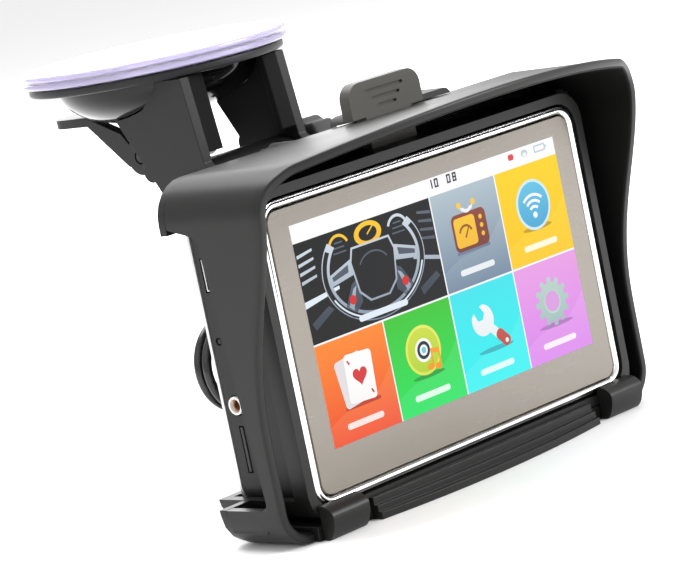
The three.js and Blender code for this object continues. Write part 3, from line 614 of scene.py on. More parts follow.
def refine(node, slot, radius=0.0, segments=2, material=None):
    """Keeps a CAD node and gives it a finish, clean flats and edges with a real radius."""
    shown = NODES[node]
    for layer in ("custom_normal", "sharp_edge", "sharp_face"):
        if layer in shown.data.attributes:
            shown.data.attributes.remove(shown.data.attributes[layer])
    shown.data.shade_smooth()
    weld = shown.modifiers.new("Weld", "WELD")
    weld.merge_threshold = 0.002 * MM
    flats = shown.modifiers.new("Flats", "DECIMATE")
    flats.decimate_type = "DISSOLVE"
    flats.angle_limit = math.radians(0.5)
    bevel = shown.modifiers.new("Edge radius", "BEVEL")
    bevel.width = max(radius, 0.02) * MM
    bevel.segments = segments
    bevel.limit_method = "ANGLE"
    bevel.angle_limit = math.radians(32)
    bevel.harden_normals = True
    shown.data.materials.clear()
    shown.data.materials.append(material or finish(slot))
    return shown


def closed_rings(rings, capped=True):
    """A closed mesh through rings of points; the first and last are closed by one face each."""
    bm = bmesh.new()
    loops = [[bm.verts.new(p) for p in ring] for ring in rings]
    count = len(loops[0])
    for lower, upper in zip(loops, loops[1:]):
        for i in range(count):
            j = (i + 1) % count
            bm.faces.new((lower[i], lower[j], upper[j], upper[i]))
    if capped:
        bm.faces.new(loops[0])
        bm.faces.new(loops[-1])
    else:
        for i in range(count):
            j = (i + 1) % count
            bm.faces.new((loops[-1][i], loops[-1][j], loops[0][j], loops[0][i]))
    return bm


def turned(profile, centre, axis="z", segments=96, capped=True):
    """A profile of (radius, height) turned round an axis through a point."""
    cx, cy, cz = centre
    rings = []
    for radius, height in profile:
        ring = []
        for i in range(segments):
            angle = 2 * math.pi * i / segments
            u, v = radius * math.cos(angle), radius * math.sin(angle)
            ring.append({
                "x": (cx + height, cy + u, cz + v),
                "y": (cx + u, cy + height, cz + v),
                "z": (cx + u, cy + v, cz + height),
            }[axis])
        rings.append(ring)
    return closed_rings(rings, capped)


def arc(u, v, radius, start, end, steps):
    return [
        (u + radius * math.cos(math.radians(start + (end - start) * i / steps)),
         v + radius * math.sin(math.radians(start + (end - start) * i / steps)))
        for i in range(steps + 1)
    ]


def rounded(width, height, radius, u=0.0, v=0.0, steps=8):
    w, h = width / 2 - radius, height / 2 - radius
    return [
        *arc(u + w, v + h, radius, 0, 90, steps), *arc(u - w, v + h, radius, 90, 180, steps),
        *arc(u - w, v - h, radius, 180, 270, steps), *arc(u + w, v - h, radius, 270, 360, steps),
    ]


def extruded(outline, axis, start, end):
    """An outline pushed along an axis: (y, z) along x, (x, z) along y, (x, y) along z."""
    def at(p, h):
        return {"x": (h, p[0], p[1]), "y": (p[0], h, p[1]), "z": (p[0], p[1], h)}[axis]
    return closed_rings([[at(p, start) for p in outline], [at(p, end) for p in outline]])


def round_edges(bm, radius, segments=3, angle=35.0, keep=None):
    edges = [
        e for e in bm.edges
        if len(e.link_faces) == 2 and e.calc_face_angle(0) > math.radians(angle)
        and (keep is None or keep(e))
    ]
    bmesh.ops.bevel(
        bm, geom=edges, offset=radius, offset_type="OFFSET", segments=segments, profile=0.5,
        affect="EDGES", clamp_overlap=True,
    )
    return bm


def carved(bm, cutters, operation="DIFFERENCE"):
    """bm with other closed meshes cut out of it or joined to it."""
    def temporary(part, name):
        bmesh.ops.recalc_face_normals(part, faces=part.faces)
        mesh = bpy.data.meshes.new(name)
        part.to_mesh(mesh)
        part.free()
        return link(name, mesh)
    target = temporary(bm, "target")
    tools = [temporary(cutter, "tool") for cutter in cutters]
    for tool in tools:
        modifier = target.modifiers.new("Cut", "BOOLEAN")
        modifier.operation = operation
        modifier.solver = "EXACT"
        modifier.object = tool
    bpy.context.view_layer.update()
    evaluated = target.evaluated_get(bpy.context.evaluated_depsgraph_get())
    result = bmesh.new()
    result.from_mesh(evaluated.to_mesh())
    evaluated.to_mesh_clear()
    for used in (target, *tools):
        data = used.data
        bpy.data.objects.remove(used)
        bpy.data.meshes.remove(data)
    return result


def wire(name, points, radius, body, slot, stands_for=(), material=None, sides=6):
    """A round bar or cable along a smooth line through points in millimetres."""
    curve = bpy.data.curves.new(name, "CURVE")
    curve.dimensions = "3D"
    curve.bevel_depth = radius * MM
    curve.bevel_resolution = sides
    curve.use_fill_caps = True
    line = curve.splines.new("POLY")
    line.points.add(len(points) - 1)
    for knot, point in zip(line.points, points):
        knot.co = (*(FACE + Vector(point) * MM), 1)
    line.use_smooth = True
    curve.materials.append(material or finish(slot))
    made = link(name, curve)
    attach(made, body)
    if stands_for:
        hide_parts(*stands_for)
    return made


def smoothstep(low, high, value):
    t = min(1, max(0, (value - low) / (high - low)))
    return t * t * (3 - 2 * t)


# ------------------------------------------------------------------ settings
class ShellSettings(bpy.types.PropertyGroup):
    """Sizes and colours of the moulded housings."""

    shell_colour: FloatVectorProperty(
        name="Shell Colour", description="Hood, cradle and bracket plastic", subtype="COLOR",
        default=(0.0070, 0.0070, 0.0067), min=0, max=1)
    latch_colour: FloatVectorProperty(
        name="Latch Colour", description="Latch tab, pull stem and power button", subtype="COLOR",
        default=(0.050, 0.048, 0.042), min=0, max=1)
    case_colour: FloatVectorProperty(
        name="Case Colour", description="The navigator's own middle frame", subtype="COLOR",
        default=(0.010, 0.010, 0.010), min=0, max=1)
    grain_size: FloatProperty(
        name="Grain Size", description="Spacing of the moulded grain", default=0.3 * MM,
        min=0.05 * MM, max=2 * MM, unit="LENGTH", subtype="DISTANCE", precision=5)
    edge_radius: FloatProperty(
        name="Edge Radius", description="Radius on the outer edges of the shells", default=0.45 * MM,
        min=0.05 * MM, max=1 * MM, unit="LENGTH", subtype="DISTANCE", precision=5)


class VisorSettings(bpy.types.PropertyGroup):
    """Shape of the sun visor's front rim."""

    rim_radius: FloatProperty(
        name="Rim Radius", description="Radius on both edges of the visor's front rim",
        default=0.7 * MM, min=0.1 * MM, max=1.1 * MM, unit="LENGTH", subtype="DISTANCE", precision=5)
    wall: FloatProperty(
        name="Wall", description="Wall thickness of the visor", default=2.4 * MM, min=1 * MM,
        max=4 * MM, unit="LENGTH", subtype="DISTANCE", precision=5)


class CupSettings(bpy.types.PropertyGroup):
    """Colours of the suction cup."""

    dome_colour: FloatVectorProperty(
        name="Dome Colour", description="Polished dome", subtype="COLOR",
        default=(0.004, 0.004, 0.004), min=0, max=1)
    rim_colour: FloatVectorProperty(
        name="Rim Colour", description="Rubber rim of the dome", subtype="COLOR",
        default=(0.022, 0.022, 0.023), min=0, max=1)
    gel_colour: FloatVectorProperty(
        name="Gel Colour", description="Body of the gel face and pad", subtype="COLOR",
        default=(0.90, 0.89, 0.93), min=0, max=1)
    gel_edge_colour: FloatVectorProperty(
        name="Gel Edge Colour", description="Colour gathered at the gel's edge", subtype="COLOR",
        default=(0.62, 0.56, 0.82), min=0, max=1)
    segments: IntProperty(
        name="Segments", description="Facets round the cup", default=128, min=32, max=256)


class ScreenSettings(bpy.types.PropertyGroup):
    """The display and its bezel."""

    brightness: FloatProperty(
        name="Brightness", description="Strength of the lit display", default=1.0, min=0, max=5)
    layer: FloatProperty(
        name="Layer", description="Thickness of one printed or lit layer", default=0.03 * MM,
        min=0.01 * MM, max=0.1 * MM, unit="LENGTH", subtype="DISTANCE", precision=6)
    bezel_dark: FloatVectorProperty(
        name="Bezel Dark", description="Darker tone of the bezel print", subtype="COLOR",
        default=(0.150, 0.128, 0.105), min=0, max=1)
    bezel_light: FloatVectorProperty(
        name="Bezel Light", description="Lighter tone of the bezel print", subtype="COLOR",
        default=(0.205, 0.180, 0.150), min=0, max=1)


class StudioSettings(bpy.types.PropertyGroup):
    """Camera, floor and light."""

    lens: FloatProperty(
        name="Lens", description="Focal length on a 36 mm sensor, in millimetres", default=175.48,
        min=10, max=400)
    camera_place: FloatVectorProperty(
        name="Camera Place", description="Camera position from the centre of the face",
        default=(-0.56482, -0.55445, 0.13084), size=3, unit="LENGTH", subtype="TRANSLATION")
    camera_turn: FloatVectorProperty(
        name="Camera Turn", description="Camera rotation", size=3, subtype="EULER", unit="ROTATION",
        default=[math.radians(a) for a in (81.0109, 11.5702, -45.4553)])
    floor_colour: FloatVectorProperty(
        name="Floor Colour", description="Pale floor", subtype="COLOR", default=(0.9, 0.9, 0.9),
        min=0, max=1)
    sky_strength: FloatProperty(
        name="Sky Strength", description="Even light from all round", default=0.95, min=0, max=5)
    softbox_power: FloatProperty(
        name="Softbox Power", description="Power of the overhead softbox", default=15.0, min=0,
        max=500, unit="POWER")


# ------------------------------------------------------------------ suction cup
class NAVIGATOR_OT_suction_cup(bpy.types.Operator):
    """Build the polished dome and the two clear discs over it"""

    bl_idname = "navigator.suction_cup"
    bl_label = "Suction Cup"
    bl_options = {"REGISTER", "UNDO"}

    def execute(self, context):
        segments = context.scene.navigator_cup.segments
        low, high = span("cup_shell")
        axis = ((low.x + high.x) / 2, (low.y + high.y) / 2, 0)
        rim, top, foot = high.x, high.z, high.z - 2.1
        hole, wall, dome = 3.6, 2.0, 26.5
        depth = (foot - low.z) / math.sqrt(1 - (hole / dome) ** 2)

        def bowl(radius, drop, start):
            return [
                (start + (radius - start) * math.sin(math.pi / 2 * i / 22),
                 foot - drop * math.sqrt(max(0, 1 - ((start + (radius - start)
                                                      * math.sin(math.pi / 2 * i / 22)) / radius) ** 2)))
                for i in range(23)
            ]
        outside = bowl(dome, depth, hole)
        inside = bowl(dome - wall, depth - wall, hole)
        profile = [
            *outside, (dome + 0.5, foot - 0.1), (rim - 1.0, foot),
            *arc(rim - 0.6, foot + 0.6, 0.6, 270, 360, 5),
            *arc(rim - 0.5, top - 0.5, 0.5, 0, 90, 5), (dome - wall + 0.4, top), (dome - wall, top - 0.4),
            *reversed(inside),
        ]
        add_piece("cup_shell_gloss", turned(profile, axis, "z", segments, capped=False),
                  BODY_OF["cup_shell"], "gloss_dome", ["cup_shell"])
        for node, bow in (("gel_face", 0.75), ("pad_disc", 0.6)):
            low, high = span(node)
            radius = high.x
            edge = min(bow, (high.z - low.z) / 2)
            profile = [
                (0.02, low.z), (radius * 0.5, low.z), (radius - edge - 1.2, low.z),
                *arc(radius - edge, low.z + edge, edge, 270, 360, 6),
                *arc(radius - edge, high.z - edge, edge, 0, 90, 6),
                (radius - edge - 1.2, high.z), (radius * 0.5, high.z), (0.02, high.z),
            ]
            add_piece(node + "_clear", turned(profile, axis, "z", segments), BODY_OF[node],
                      "clear_gel", [node])
        return {"FINISHED"}


class NAVIGATOR_OT_stem_and_lever(bpy.types.Operator):
    """Finish the pull stem, its pin and spring, and the cam lever"""

    bl_idname = "navigator.stem_and_lever"
    bl_label = "Stem and Lever"
    bl_options = {"REGISTER", "UNDO"}

    def execute(self, context):
        refine("pull_stem", "grey_plastic", 0.3)
        refine("lever_pin", "steel", 0.3, material=finish("blackened_steel"))
        refine("cam_lever", "satin_shell", 0.5, 3)
        coil("stem_spring_wire", "stem_spring", 0.5, 3)
        return {"FINISHED"}


def coil(name, node, thickness, turns):
    """A round-wire spring in the space of a CAD spring."""
    low, high = span(node)
    cx, cy = (low.x + high.x) / 2, (low.y + high.y) / 2
    radius = (high.x - low.x) / 2 - thickness
    bottom, top = low.z + thickness, high.z - thickness
    steps = turns * 28
    points = []
    for i in range(steps + 1):
        angle = 2 * math.pi * turns * i / steps
        points.append((cx + radius * math.cos(angle), cy + radius * math.sin(angle),
                       bottom + (top - bottom) * i / steps))
    wire(name, points, thickness, BODY_OF[node], "steel", [node])


# ------------------------------------------------------------------ bracket
class NAVIGATOR_OT_bracket(bpy.types.Operator):
    """Finish the two cheeks, the knuckle and the hinge hardware"""

    bl_idname = "navigator.bracket"
    bl_label = "Bracket"
    bl_options = {"REGISTER", "UNDO"}

    def execute(self, context):
        # the cheeks get painted shade, nearly black, on their inner side between them
        for node in ("left_cheek", "right_cheek"):
            refine(node, "satin_shell", context.scene.navigator_shell.edge_radius / MM, 3, finish("cheek"))
        refine("hinge_knuckle", "satin_shell", 0.4, 3)
        refine("hinge_bolt", "steel", 0.3)
        refine("hinge_washer", "steel", 0.12)
        return {"FINISHED"}


class NAVIGATOR_OT_clamp_knob(bpy.types.Operator):
    """Build the scalloped clamp knob"""

    bl_idname = "navigator.clamp_knob"
    bl_label = "Clamp Knob"
    bl_options = {"REGISTER", "UNDO"}

    def execute(self, context):
        low, high = span("clamp_knob")
        cy, cz = (low.y + high.y) / 2, (low.z + high.z) / 2
        radius = (high.z - low.z) / 2
        lobes, steps = 12, 14
        foot, face = low.x, high.x

        def ring(x, size, wave):
            made = []
            for i in range(lobes * steps):
                angle = 2 * math.pi * i / (lobes * steps)
                r = size - wave + wave * math.cos(lobes * angle)
                made.append((x, cy + r * math.cos(angle), cz + r * math.sin(angle)))
            return made
        bore = 2.8
        sections = [
            (foot, bore, 0), (foot, radius - 3.4, 0), (foot + 0.4, radius - 3, 0),
            (foot + 2, radius - 3, 0),
            (foot + 2, radius - 1.2, 0.35), (foot + 2.2, radius - 0.5, 0.42), (foot + 2.7, radius, 0.5),
            (face - 1.6, radius, 0.5), (face - 0.7, radius - 0.25, 0.45), (face - 0.2, radius - 0.9, 0.35),
            (face, radius - 2.0, 0.12), (face, radius - 2.6, 0), (face - 0.5, radius - 2.9, 0),
            (face - 0.5, 3.4, 0), (face - 0.2, 3.0, 0), (face - 0.2, 0.05, 0),
        ]
        bore_end = span("hinge_bolt")[1].x + 0.3
        rings = [ring(bore_end, 0.05, 0), ring(bore_end, bore, 0), *[ring(*s) for s in sections]]
        add_piece("clamp_knob_scalloped", closed_rings(rings), BODY_OF["clamp_knob"], "black_rubber",
                  ["clamp_knob"], crease=50)
        return {"FINISHED"}


class NAVIGATOR_OT_ball_joint(bpy.types.Operator):
    """Finish the socket, its liner, the collar nut and their screws"""

    bl_idname = "navigator.ball_joint"
    bl_label = "Ball Joint"
    bl_options = {"REGISTER", "UNDO"}

    def execute(self, context):
        refine("socket_liner", "nylon", 0.15)
        refine("ball_socket", "satin_shell", 0.35)
        refine("collar_nut", "black_rubber", 0.15)
        for i in (1, 2):
            refine(f"socket_screw_{i}", "steel", 0.25)
        return {"FINISHED"}


# ------------------------------------------------------------------ sun visor
VISOR_TOP = 45.5            # hood's rear edge above the centre of the face
TOP_RADIUS = 10.0
LOW_RADIUS = 9.0
WING_FOOT_FRONT = 1.4       # front edge of a wing at its foot
WING_TOP_FRONT = -12.7      # and where it meets the hood
BROW_BOW = 19               # how far the brow's middle stands in front of its ends
HOOD_RISE = 5.5             # how far the brow's middle stands above the rear edge
NOTCH = [(-33.36, 7.3), (-32.9, 6.5), (-32.4, 6.05), (-31.9, 5.8), (0, 8.0), (30, 10.4), (31.2, 10.8),
         (32.2, 11.6), (32.6, 12.7), (33.0, 13.9), (33.7, 17.0)]  # side opening: height, front edge
NOTCH_TOP = 34.5


def visor_path():
    """Stations along the visor's section, left foot to right foot: place, outward normal, rear edge."""
    low, high = span("sun_visor")
    half, bottom, rear = high.x, low.z, high.y
    foot = (half - LOW_RADIUS, bottom + LOW_RADIUS)
    crown = (half - TOP_RADIUS, VISOR_TOP - TOP_RADIUS)
    stations = []
    for i in range(13):
        a = math.radians(-90 + 90 * i / 12)
        stations.append(((foot[0] + LOW_RADIUS * math.cos(a), foot[1] + LOW_RADIUS * math.sin(a)),
                         (math.cos(a), math.sin(a))))
    heights = {round(foot[1] + (crown[1] - foot[1]) * i / 40, 3) for i in range(1, 40)}
    notch = [*NOTCH, (NOTCH_TOP, rear)]
    heights |= {-33.4} | {z for z, _ in notch if z}
    for z in sorted(heights):
        stations.append(((half, z), (1, 0)))
    for i in range(17):
        a = math.radians(90 * i / 16)
        stations.append(((crown[0] + TOP_RADIUS * math.cos(a), crown[1] + TOP_RADIUS * math.sin(a)),
                         (math.cos(a), math.sin(a))))
    across = 30
    right = stations + [((crown[0] * (1 - i / across), VISOR_TOP), (0, 1)) for i in range(1, across)]
    middle = [((0, VISOR_TOP), (0, 1))]
    left = [((-p[0], p[1]), (-n[0], n[1])) for p, n in reversed(right)]

    def rear_edge(place):
        x, z = place
        if x > -half + 0.01 or not notch[0][0] <= z <= notch[-1][0]:
            return rear
        for (z0, y0), (z1, y1) in zip(notch, notch[1:]):
            if z <= z1:
                return y0 + (y1 - y0) * (z - z0) / (z1 - z0)
        return rear
    return [(p, n, rear_edge(p)) for p, n in right + middle + left], half, rear


def visor_front(x, z, half):
    """Front edge of the wings and brow at a point of the section."""
    along = min(1, max(0, (z + 20) / 60)) ** 1.25
    wing = WING_FOOT_FRONT + (WING_TOP_FRONT - WING_FOOT_FRONT) * smoothstep(0, 1, along)
    bow = BROW_BOW * max(0, 1 - (x / half) ** 2) * smoothstep(30, 43.5, z)
    return wing - bow


class NAVIGATOR_OT_sun_visor(bpy.types.Operator):
    """Build the sun visor with its swept brow, rounded rim, port notch and screw posts"""

    bl_idname = "navigator.sun_visor"
    bl_label = "Sun Visor"
    bl_options = {"REGISTER", "UNDO"}

    def execute(self, context):
        settings = context.scene.navigator_visor
        wall, rim, back = settings.wall / MM, settings.rim_radius / MM, 0.3
        stations, half, rear = visor_path()
        rings = []
        for (x, z), (nx, nz), rear_edge in stations:
            def at(depth, y):
                px, pz = x - nx * depth, z - nz * depth
                front = visor_front(px, pz, half)
                forward = (rear - y) / (rear - front)
                rise = HOOD_RISE * max(0, 1 - (px / (half - 6)) ** 2) * smoothstep(31, 42.5, pz)
                return (px, y, pz + rise * forward)
            front = visor_front(x, z, half)
            steps = 10
            outer = [(0, rear_edge - back + (front + rim - rear_edge + back) * i / steps)
                     for i in range(steps + 1)]
            nose_out = [(rim - rim * math.cos(a), front + rim - rim * math.sin(a))
                        for a in (math.radians(d) for d in (22.5, 45, 67.5, 90))]
            nose_in = [(wall - rim + rim * math.sin(a), front + rim - rim * math.cos(a))
                       for a in (math.radians(d) for d in (0, 22.5, 45, 67.5))]
            inner = [(wall, front + rim + (rear_edge - back - front - rim) * i / steps)
                     for i in range(steps + 1)]
            tail = [(wall - back, rear_edge), (back, rear_edge)]
            rings.append([at(*p) for p in outer + nose_out + nose_in + inner + tail])
        band = closed_rings(rings)
        low, high = span("latch_tab")
        neck = 8.4
        slot = extruded([(-neck, low.y - 0.4), (neck, low.y - 0.4), (neck, high.y), (-neck, high.y)],
                        "z", 39.5, 53.5)
        body = carved(band, [slot])
        body = carved(body, self.posts(half), "UNION")
        bores = [turned([(1.3, -4), (1.3, 11)], (x, 14, z), "y", 24) for x, z in self.post_places(half)]
        body = carved(body, bores)
        # the inner faces take the darkened material, painted shade for the shade inside the hood and wings
        for face in body.faces:
            face.material_index = self.faces_inwards(face, half)
        add_piece("sun_visor_swept", body, BODY_OF["sun_visor"], "satin_shell", ["sun_visor"],
                  [finish("satin_shell"), finish("shell_inside_painted_shade")], crease=30)
        return {"FINISHED"}

    @staticmethod
    def faces_inwards(face, half):
        """1 for a face on the visor's inner side, which takes the material with painted shade, 0 for the
        outside and the rim.
        """
        place = face.calc_center_median()
        face.normal_update()
        outward_x = place.x - min(half - 10, max(10 - half, place.x))
        outward_z = place.z - min(VISOR_TOP - TOP_RADIUS, max(-34.5, place.z))
        reach = math.hypot(outward_x, outward_z) or 1
        facing = (face.normal.x * outward_x + face.normal.z * outward_z) / reach
        return int(facing < -0.4)

    @staticmethod
    def post_places(half):
        return [(half - 5.5, 37.5), (5.5 - half, 37.5), (half - 5.7, -38.3), (5.7 - half, -38.3)]

    def posts(self, half):
        for x, z in self.post_places(half):
            yield turned([(0.01, 8), (1.8, 8), (2.1, 8.3), (2.1, 20), (0.01, 20)], (x, 0, z), "y", 32)
            side = math.copysign(half - 1, x)
            a, b = sorted((x, side))
            yield extruded([(a, z - 0.9), (b, z - 0.9), (b, z + 0.9), (a, z + 0.9)], "y", 8.01, 19.99)


class NAVIGATOR_OT_cradle(bpy.types.Operator):
    """Finish the tray, its foam pads, the ledge and the two lips"""

    bl_idname = "navigator.cradle"
    bl_label = "Cradle"
    bl_options = {"REGISTER", "UNDO"}

    def execute(self, context):
        radius = context.scene.navigator_shell.edge_radius / MM
        refine("cradle_tray", "satin_shell", radius, 3)
        for i in (1, 2):
            refine(f"foam_pad_{i}", "black_rubber", 0.3, material=finish("foam"))
        refine("bottom_ledge", "satin_shell", 0.3, 3)
        for name in ("left_lip", "right_lip"):
            self.lip(name)
        for i in range(1, 5):
            refine(f"visor_screw_{i}", "steel", 0.25)
        return {"FINISHED"}

    @staticmethod
    def lip(name):
        low, high = span(name)
        front, rear, foot, top = low.y, high.y, low.z, high.z
        curve = ((0.31, 0.012), (0.62, 0.07), (0.86, 0.17), (0.96, 0.24), (1, 0.31), (0.99, 0.42),
                 (0.95, 0.53), (0.87, 0.66), (0.77, 0.78), (0.66, 0.88), (0.54, 0.95), (0.4, 1))
        profile = [(rear, foot), (rear, top)]
        profile += [(rear + (front - rear) * out, top + (foot - top) * down) for out, down in curve]
        bm = extruded(profile, "x", low.x, high.x)
        round_edges(bm, 0.45, 3, 50)
        add_piece(name + "_curved", bm, BODY_OF[name], "satin_shell", [name])


class NAVIGATOR_OT_latch(bpy.types.Operator):
    """Build the latch tab with its engraved grip lines, its cover and its spring"""

    bl_idname = "navigator.latch"
    bl_label = "Latch"
    bl_options = {"REGISTER", "UNDO"}

    def execute(self, context):
        low, high = span("latch_tab")
        half, front, top = high.x, low.y, high.z
        back = front + 3.4
        foot, corner = 47.4, 4.0
        head = [
            (-half, foot), (half, foot), *arc(half - corner, top - corner, corner, 0, 90, 10),
            *arc(corner - half, top - corner, corner, 90, 180, 10),
        ]
        plate = round_edges(extruded(head, "y", front, back), 0.55, 4, 50)
        neck = extruded([(-8, 37.6), (8, 37.6), (8, foot + 1), (-8, foot + 1)],
                        "y", front + 0.02, back - 0.02)
        catch = extruded([(-6, low.z), (6, low.z), (6, 39), (-6, 39)], "y", front + 0.04, back - 0.04)
        shelf = extruded([(-5, 40.0), (5, 40.0), (5, 41.2), (-5, 41.2)], "y", back - 1, high.y)
        tab = carved(plate, [neck, catch, shelf], "UNION")
        grooves = []
        for i, reach in enumerate((6.6, 5.0, 3.4)):
            z = top - 2.6 - 2 * i
            line = rounded(2 * reach, 0.75, 0.37, 0, z, 6)
            grooves.append(extruded(line, "y", front - 0.4, front + 0.6))
        tab = carved(tab, grooves)
        add_piece("latch_tab_engraved", tab, BODY_OF["latch_tab"], "grey_plastic", ["latch_tab"], crease=28)
        refine("latch_cover", "black_rubber", 0.3, 3)
        coil("latch_spring_wire", "latch_spring", 0.35, 3)
        return {"FINISHED"}


# ------------------------------------------------------------------ captive lead
class NAVIGATOR_OT_lead(bpy.types.Operator):
    """Build the captive lead with its gland, plug and clip behind the left side"""

    bl_idname = "navigator.lead"
    bl_label = "Captive Lead"
    bl_options = {"REGISTER", "UNDO"}

    def execute(self, context):
        radius, turn, pitch, turns = 1.2, 11.0, 3.0, 1.75
        clip_low, clip_high = span("lead_clip")
        cx = (clip_low.x + clip_high.x) / 2
        cz = (clip_low.z + clip_high.z) / 2 - turn
        start_y = span("lead")[0].y + radius
        start_x = span("lead_gland")[0].x - 0.3
        points = [(start_x + (cx - start_x) * i / 8, start_y, cz - turn) for i in range(8)]
        steps = 96
        for i in range(steps + 1):
            angle = -math.pi / 2 - 2 * math.pi * turns * i / steps
            points.append((cx + turn * math.cos(angle), start_y + pitch * turns * i / steps,
                           cz + turn * math.sin(angle)))
        end_z = span("lead_plug")[1].z + 0.3
        last = points[-1]
        points += [(last[0], last[1], last[2] + (end_z - last[2]) * i / 10) for i in range(1, 11)]
        wire("lead_jacketed", points, radius, BODY_OF["lead"], "black_rubber", ["lead"],
             finish("lead_jacket"), 8)
        refine("lead_gland", "satin_shell", 0.9, 4)
        refine("lead_clip", "satin_shell", 0.35, 3)
        self.plug()
        return {"FINISHED"}

    @staticmethod
    def plug():
        """Moulded plug with a ribbed grip below the cable's entry."""
        low, high = span("lead_plug")
        middle = ((low.x + high.x) / 2, (low.y + high.y) / 2)
        width, depth = high.x - low.x, high.y - low.y
        rings = []
        height = high.z - low.z
        for share, size in ((0, 0.9), (0.03, 0.97), (0.08, 1.0), (0.4, 1.0), (0.44, 0.92), (0.48, 1.0),
                            (0.52, 0.92), (0.56, 1.0), (0.6, 0.92), (0.64, 1.0), (0.82, 0.94),
                            (0.93, 0.74), (1, 0.5)):
            outline = rounded(width * size, depth * size, min(1.6, width * size / 3), *middle)
            rings.append([(u, v, low.z + height * share) for u, v in outline])
        add_piece("lead_plug_ribbed", closed_rings(rings), BODY_OF["lead_plug"],
                  "black_rubber", ["lead_plug"])


# ------------------------------------------------------------------ navigator
class NAVIGATOR_OT_case(bpy.types.Operator):
    """Build the plated trim and finish the middle frame, rear shell and screws"""

    bl_idname = "navigator.case"
    bl_label = "Case"
    bl_options = {"REGISTER", "UNDO"}

    def execute(self, context):
        low, high = span("chrome_trim")
        width, height, rear, corner = high.x - low.x, high.z - low.z, high.y, 5.5
        profile = [
            (0, rear - 0.2), (0, 0.9), (0.12, 0.55), (0.35, 0.4), (0.6, 0.4), (0.72, 0.3), (0.78, 0.12),
            (0.95, 0.0), (1.25, 0.0), (1.5, 0.1), (1.75, 0.35), (2.0, 0.75), (2.15, 1.1), (2.2, 1.5),
            (2.2, rear - 0.2), (2.0, rear), (0.2, rear),
        ]
        rings = []
        for inset, y in profile:
            radius = max(0.6, corner - inset)
            outline = rounded(width - 2 * inset, height - 2 * inset, radius, steps=14)
            rings.append([(u, y, v) for u, v in outline])
        add_piece("chrome_trim_stepped", closed_rings(rings, capped=False), BODY_OF["chrome_trim"],
                  "bright_trim", ["chrome_trim"], crease=60)
        refine("mid_frame", "case_grey", 0.25)
        refine("rear_shell", "silver_shell", 0.25, 3)
        for i in range(1, 5):
            refine(f"case_screw_{i}", "steel", 0.1)
        return {"FINISHED"}


class NAVIGATOR_OT_insides(bpy.types.Operator):
    """Finish the display module, board, battery, speaker, shield and antenna"""

    bl_idname = "navigator.insides"
    bl_label = "Insides"
    bl_options = {"REGISTER", "UNDO"}

    def execute(self, context):
        for node, slot, radius in (
            ("lcd_module", "lcd", 0.3), ("main_board", "board", 0.08), ("battery_cell", "battery", 0.9),
            ("speaker", "black_rubber", 0.4), ("gps_antenna", "ceramic", 0.3), ("shield_can", "steel", 0.3),
        ):
            refine(node, slot, radius)
        return {"FINISHED"}


class NAVIGATOR_OT_ports(bpy.types.Operator):
    """Finish the ports, card, and the two buttons"""

    bl_idname = "navigator.ports"
    bl_label = "Ports and Buttons"
    bl_options = {"REGISTER", "UNDO"}

    def execute(self, context):
        refine("audio_jack", "white_plastic", 0.15)
        refine("usb_port", "steel", 0.08)
        refine("card_slot", "steel", 0.08)
        refine("memory_card", "black_rubber", 0.08)
        refine("reset_button", "case_grey", 0.1)
        refine("power_button", "grey_plastic", 0.25)
        low, high = span("audio_jack")
        y, z = high.y - 2.65, (low.z + high.z) / 2
        ring = [(1.25, 0), (1.6, 0), (1.6, 1.4), (1.25, 1.4)]
        profile = [(r, h + low.x + 1.0) for r, h in ring]
        add_piece("jack_contact", turned(profile, (0, y, z), "x", 40, capped=False),
                  BODY_OF["audio_jack"], "steel", materials=[finish("copper")])
        return {"FINISHED"}


# ------------------------------------------------------------------ display
LIT_LEFT, LIT_RIGHT, LIT_LOW, LIT_HIGH = -47.39, 47.65, -24.22, 29.64
STATUS_FOOT = 25.2
ROW_LINE = 0.7
COLUMN_LINES = (-23.8, -0.1, 23.8)
LINE_HALF = 0.22


class Picture:
    """Flat lit shapes, each in its own layer over the touch panel's face."""

    def __init__(self, screen, name):
        self.screen, self.name = screen, name
        self.bm = bmesh.new()
        self.materials = []
        self.face = span("touch_panel")[0].y
        self.step = screen.layer / MM

    def shape(self, outline, material, layer):
        """One closed plate whose front is at that layer."""
        front = self.face - self.step * (layer + 1)
        rear = self.face - self.step * layer - 0.002
        loops = [[self.bm.verts.new((x, y, z)) for x, z in outline] for y in (front, rear)]
        faces = [self.bm.faces.new(loops[0]), self.bm.faces.new(loops[1])]
        count = len(outline)
        for i in range(count):
            j = (i + 1) % count
            faces.append(self.bm.faces.new((loops[0][i], loops[0][j], loops[1][j], loops[1][i])))
        if material not in self.materials:
            self.materials.append(material)
        for face in faces:
            face.material_index = self.materials.index(material)

    def band(self, outer, inner, material, layer):
        """A strip between two lines of the same number of points."""
        self.shape([*outer, *reversed(inner)], material, layer)

    def build(self):
        add_piece(self.name, self.bm, BODY_OF["touch_panel"], "screen_glass", materials=self.materials)


def oval(x, z, rx, rz=None, start=0.0, end=360.0, steps=40):
    """Points round an oval; a full turn leaves out the repeated last point."""
    rz = rz or rx
    count = steps if end - start >= 360 else steps + 1
    return [(x + rx * math.cos(math.radians(start + (end - start) * i / steps)),
             z + rz * math.sin(math.radians(start + (end - start) * i / steps))) for i in range(count)]


def box_outline(x0, x1, z0, z1):
    return [(x0, z0), (x1, z0), (x1, z1), (x0, z1)]


def turned_outline(points, angle, x=0.0, z=0.0):
    c, s = math.cos(math.radians(angle)), math.sin(math.radians(angle))
    return [(x + u * c - v * s, z + u * s + v * c) for u, v in points]


SEGMENTS = {"0": "abcdef", "1": "bc", "2": "abged", "5": "afgcd", "8": "abcdefg", "9": "abcdfg"}


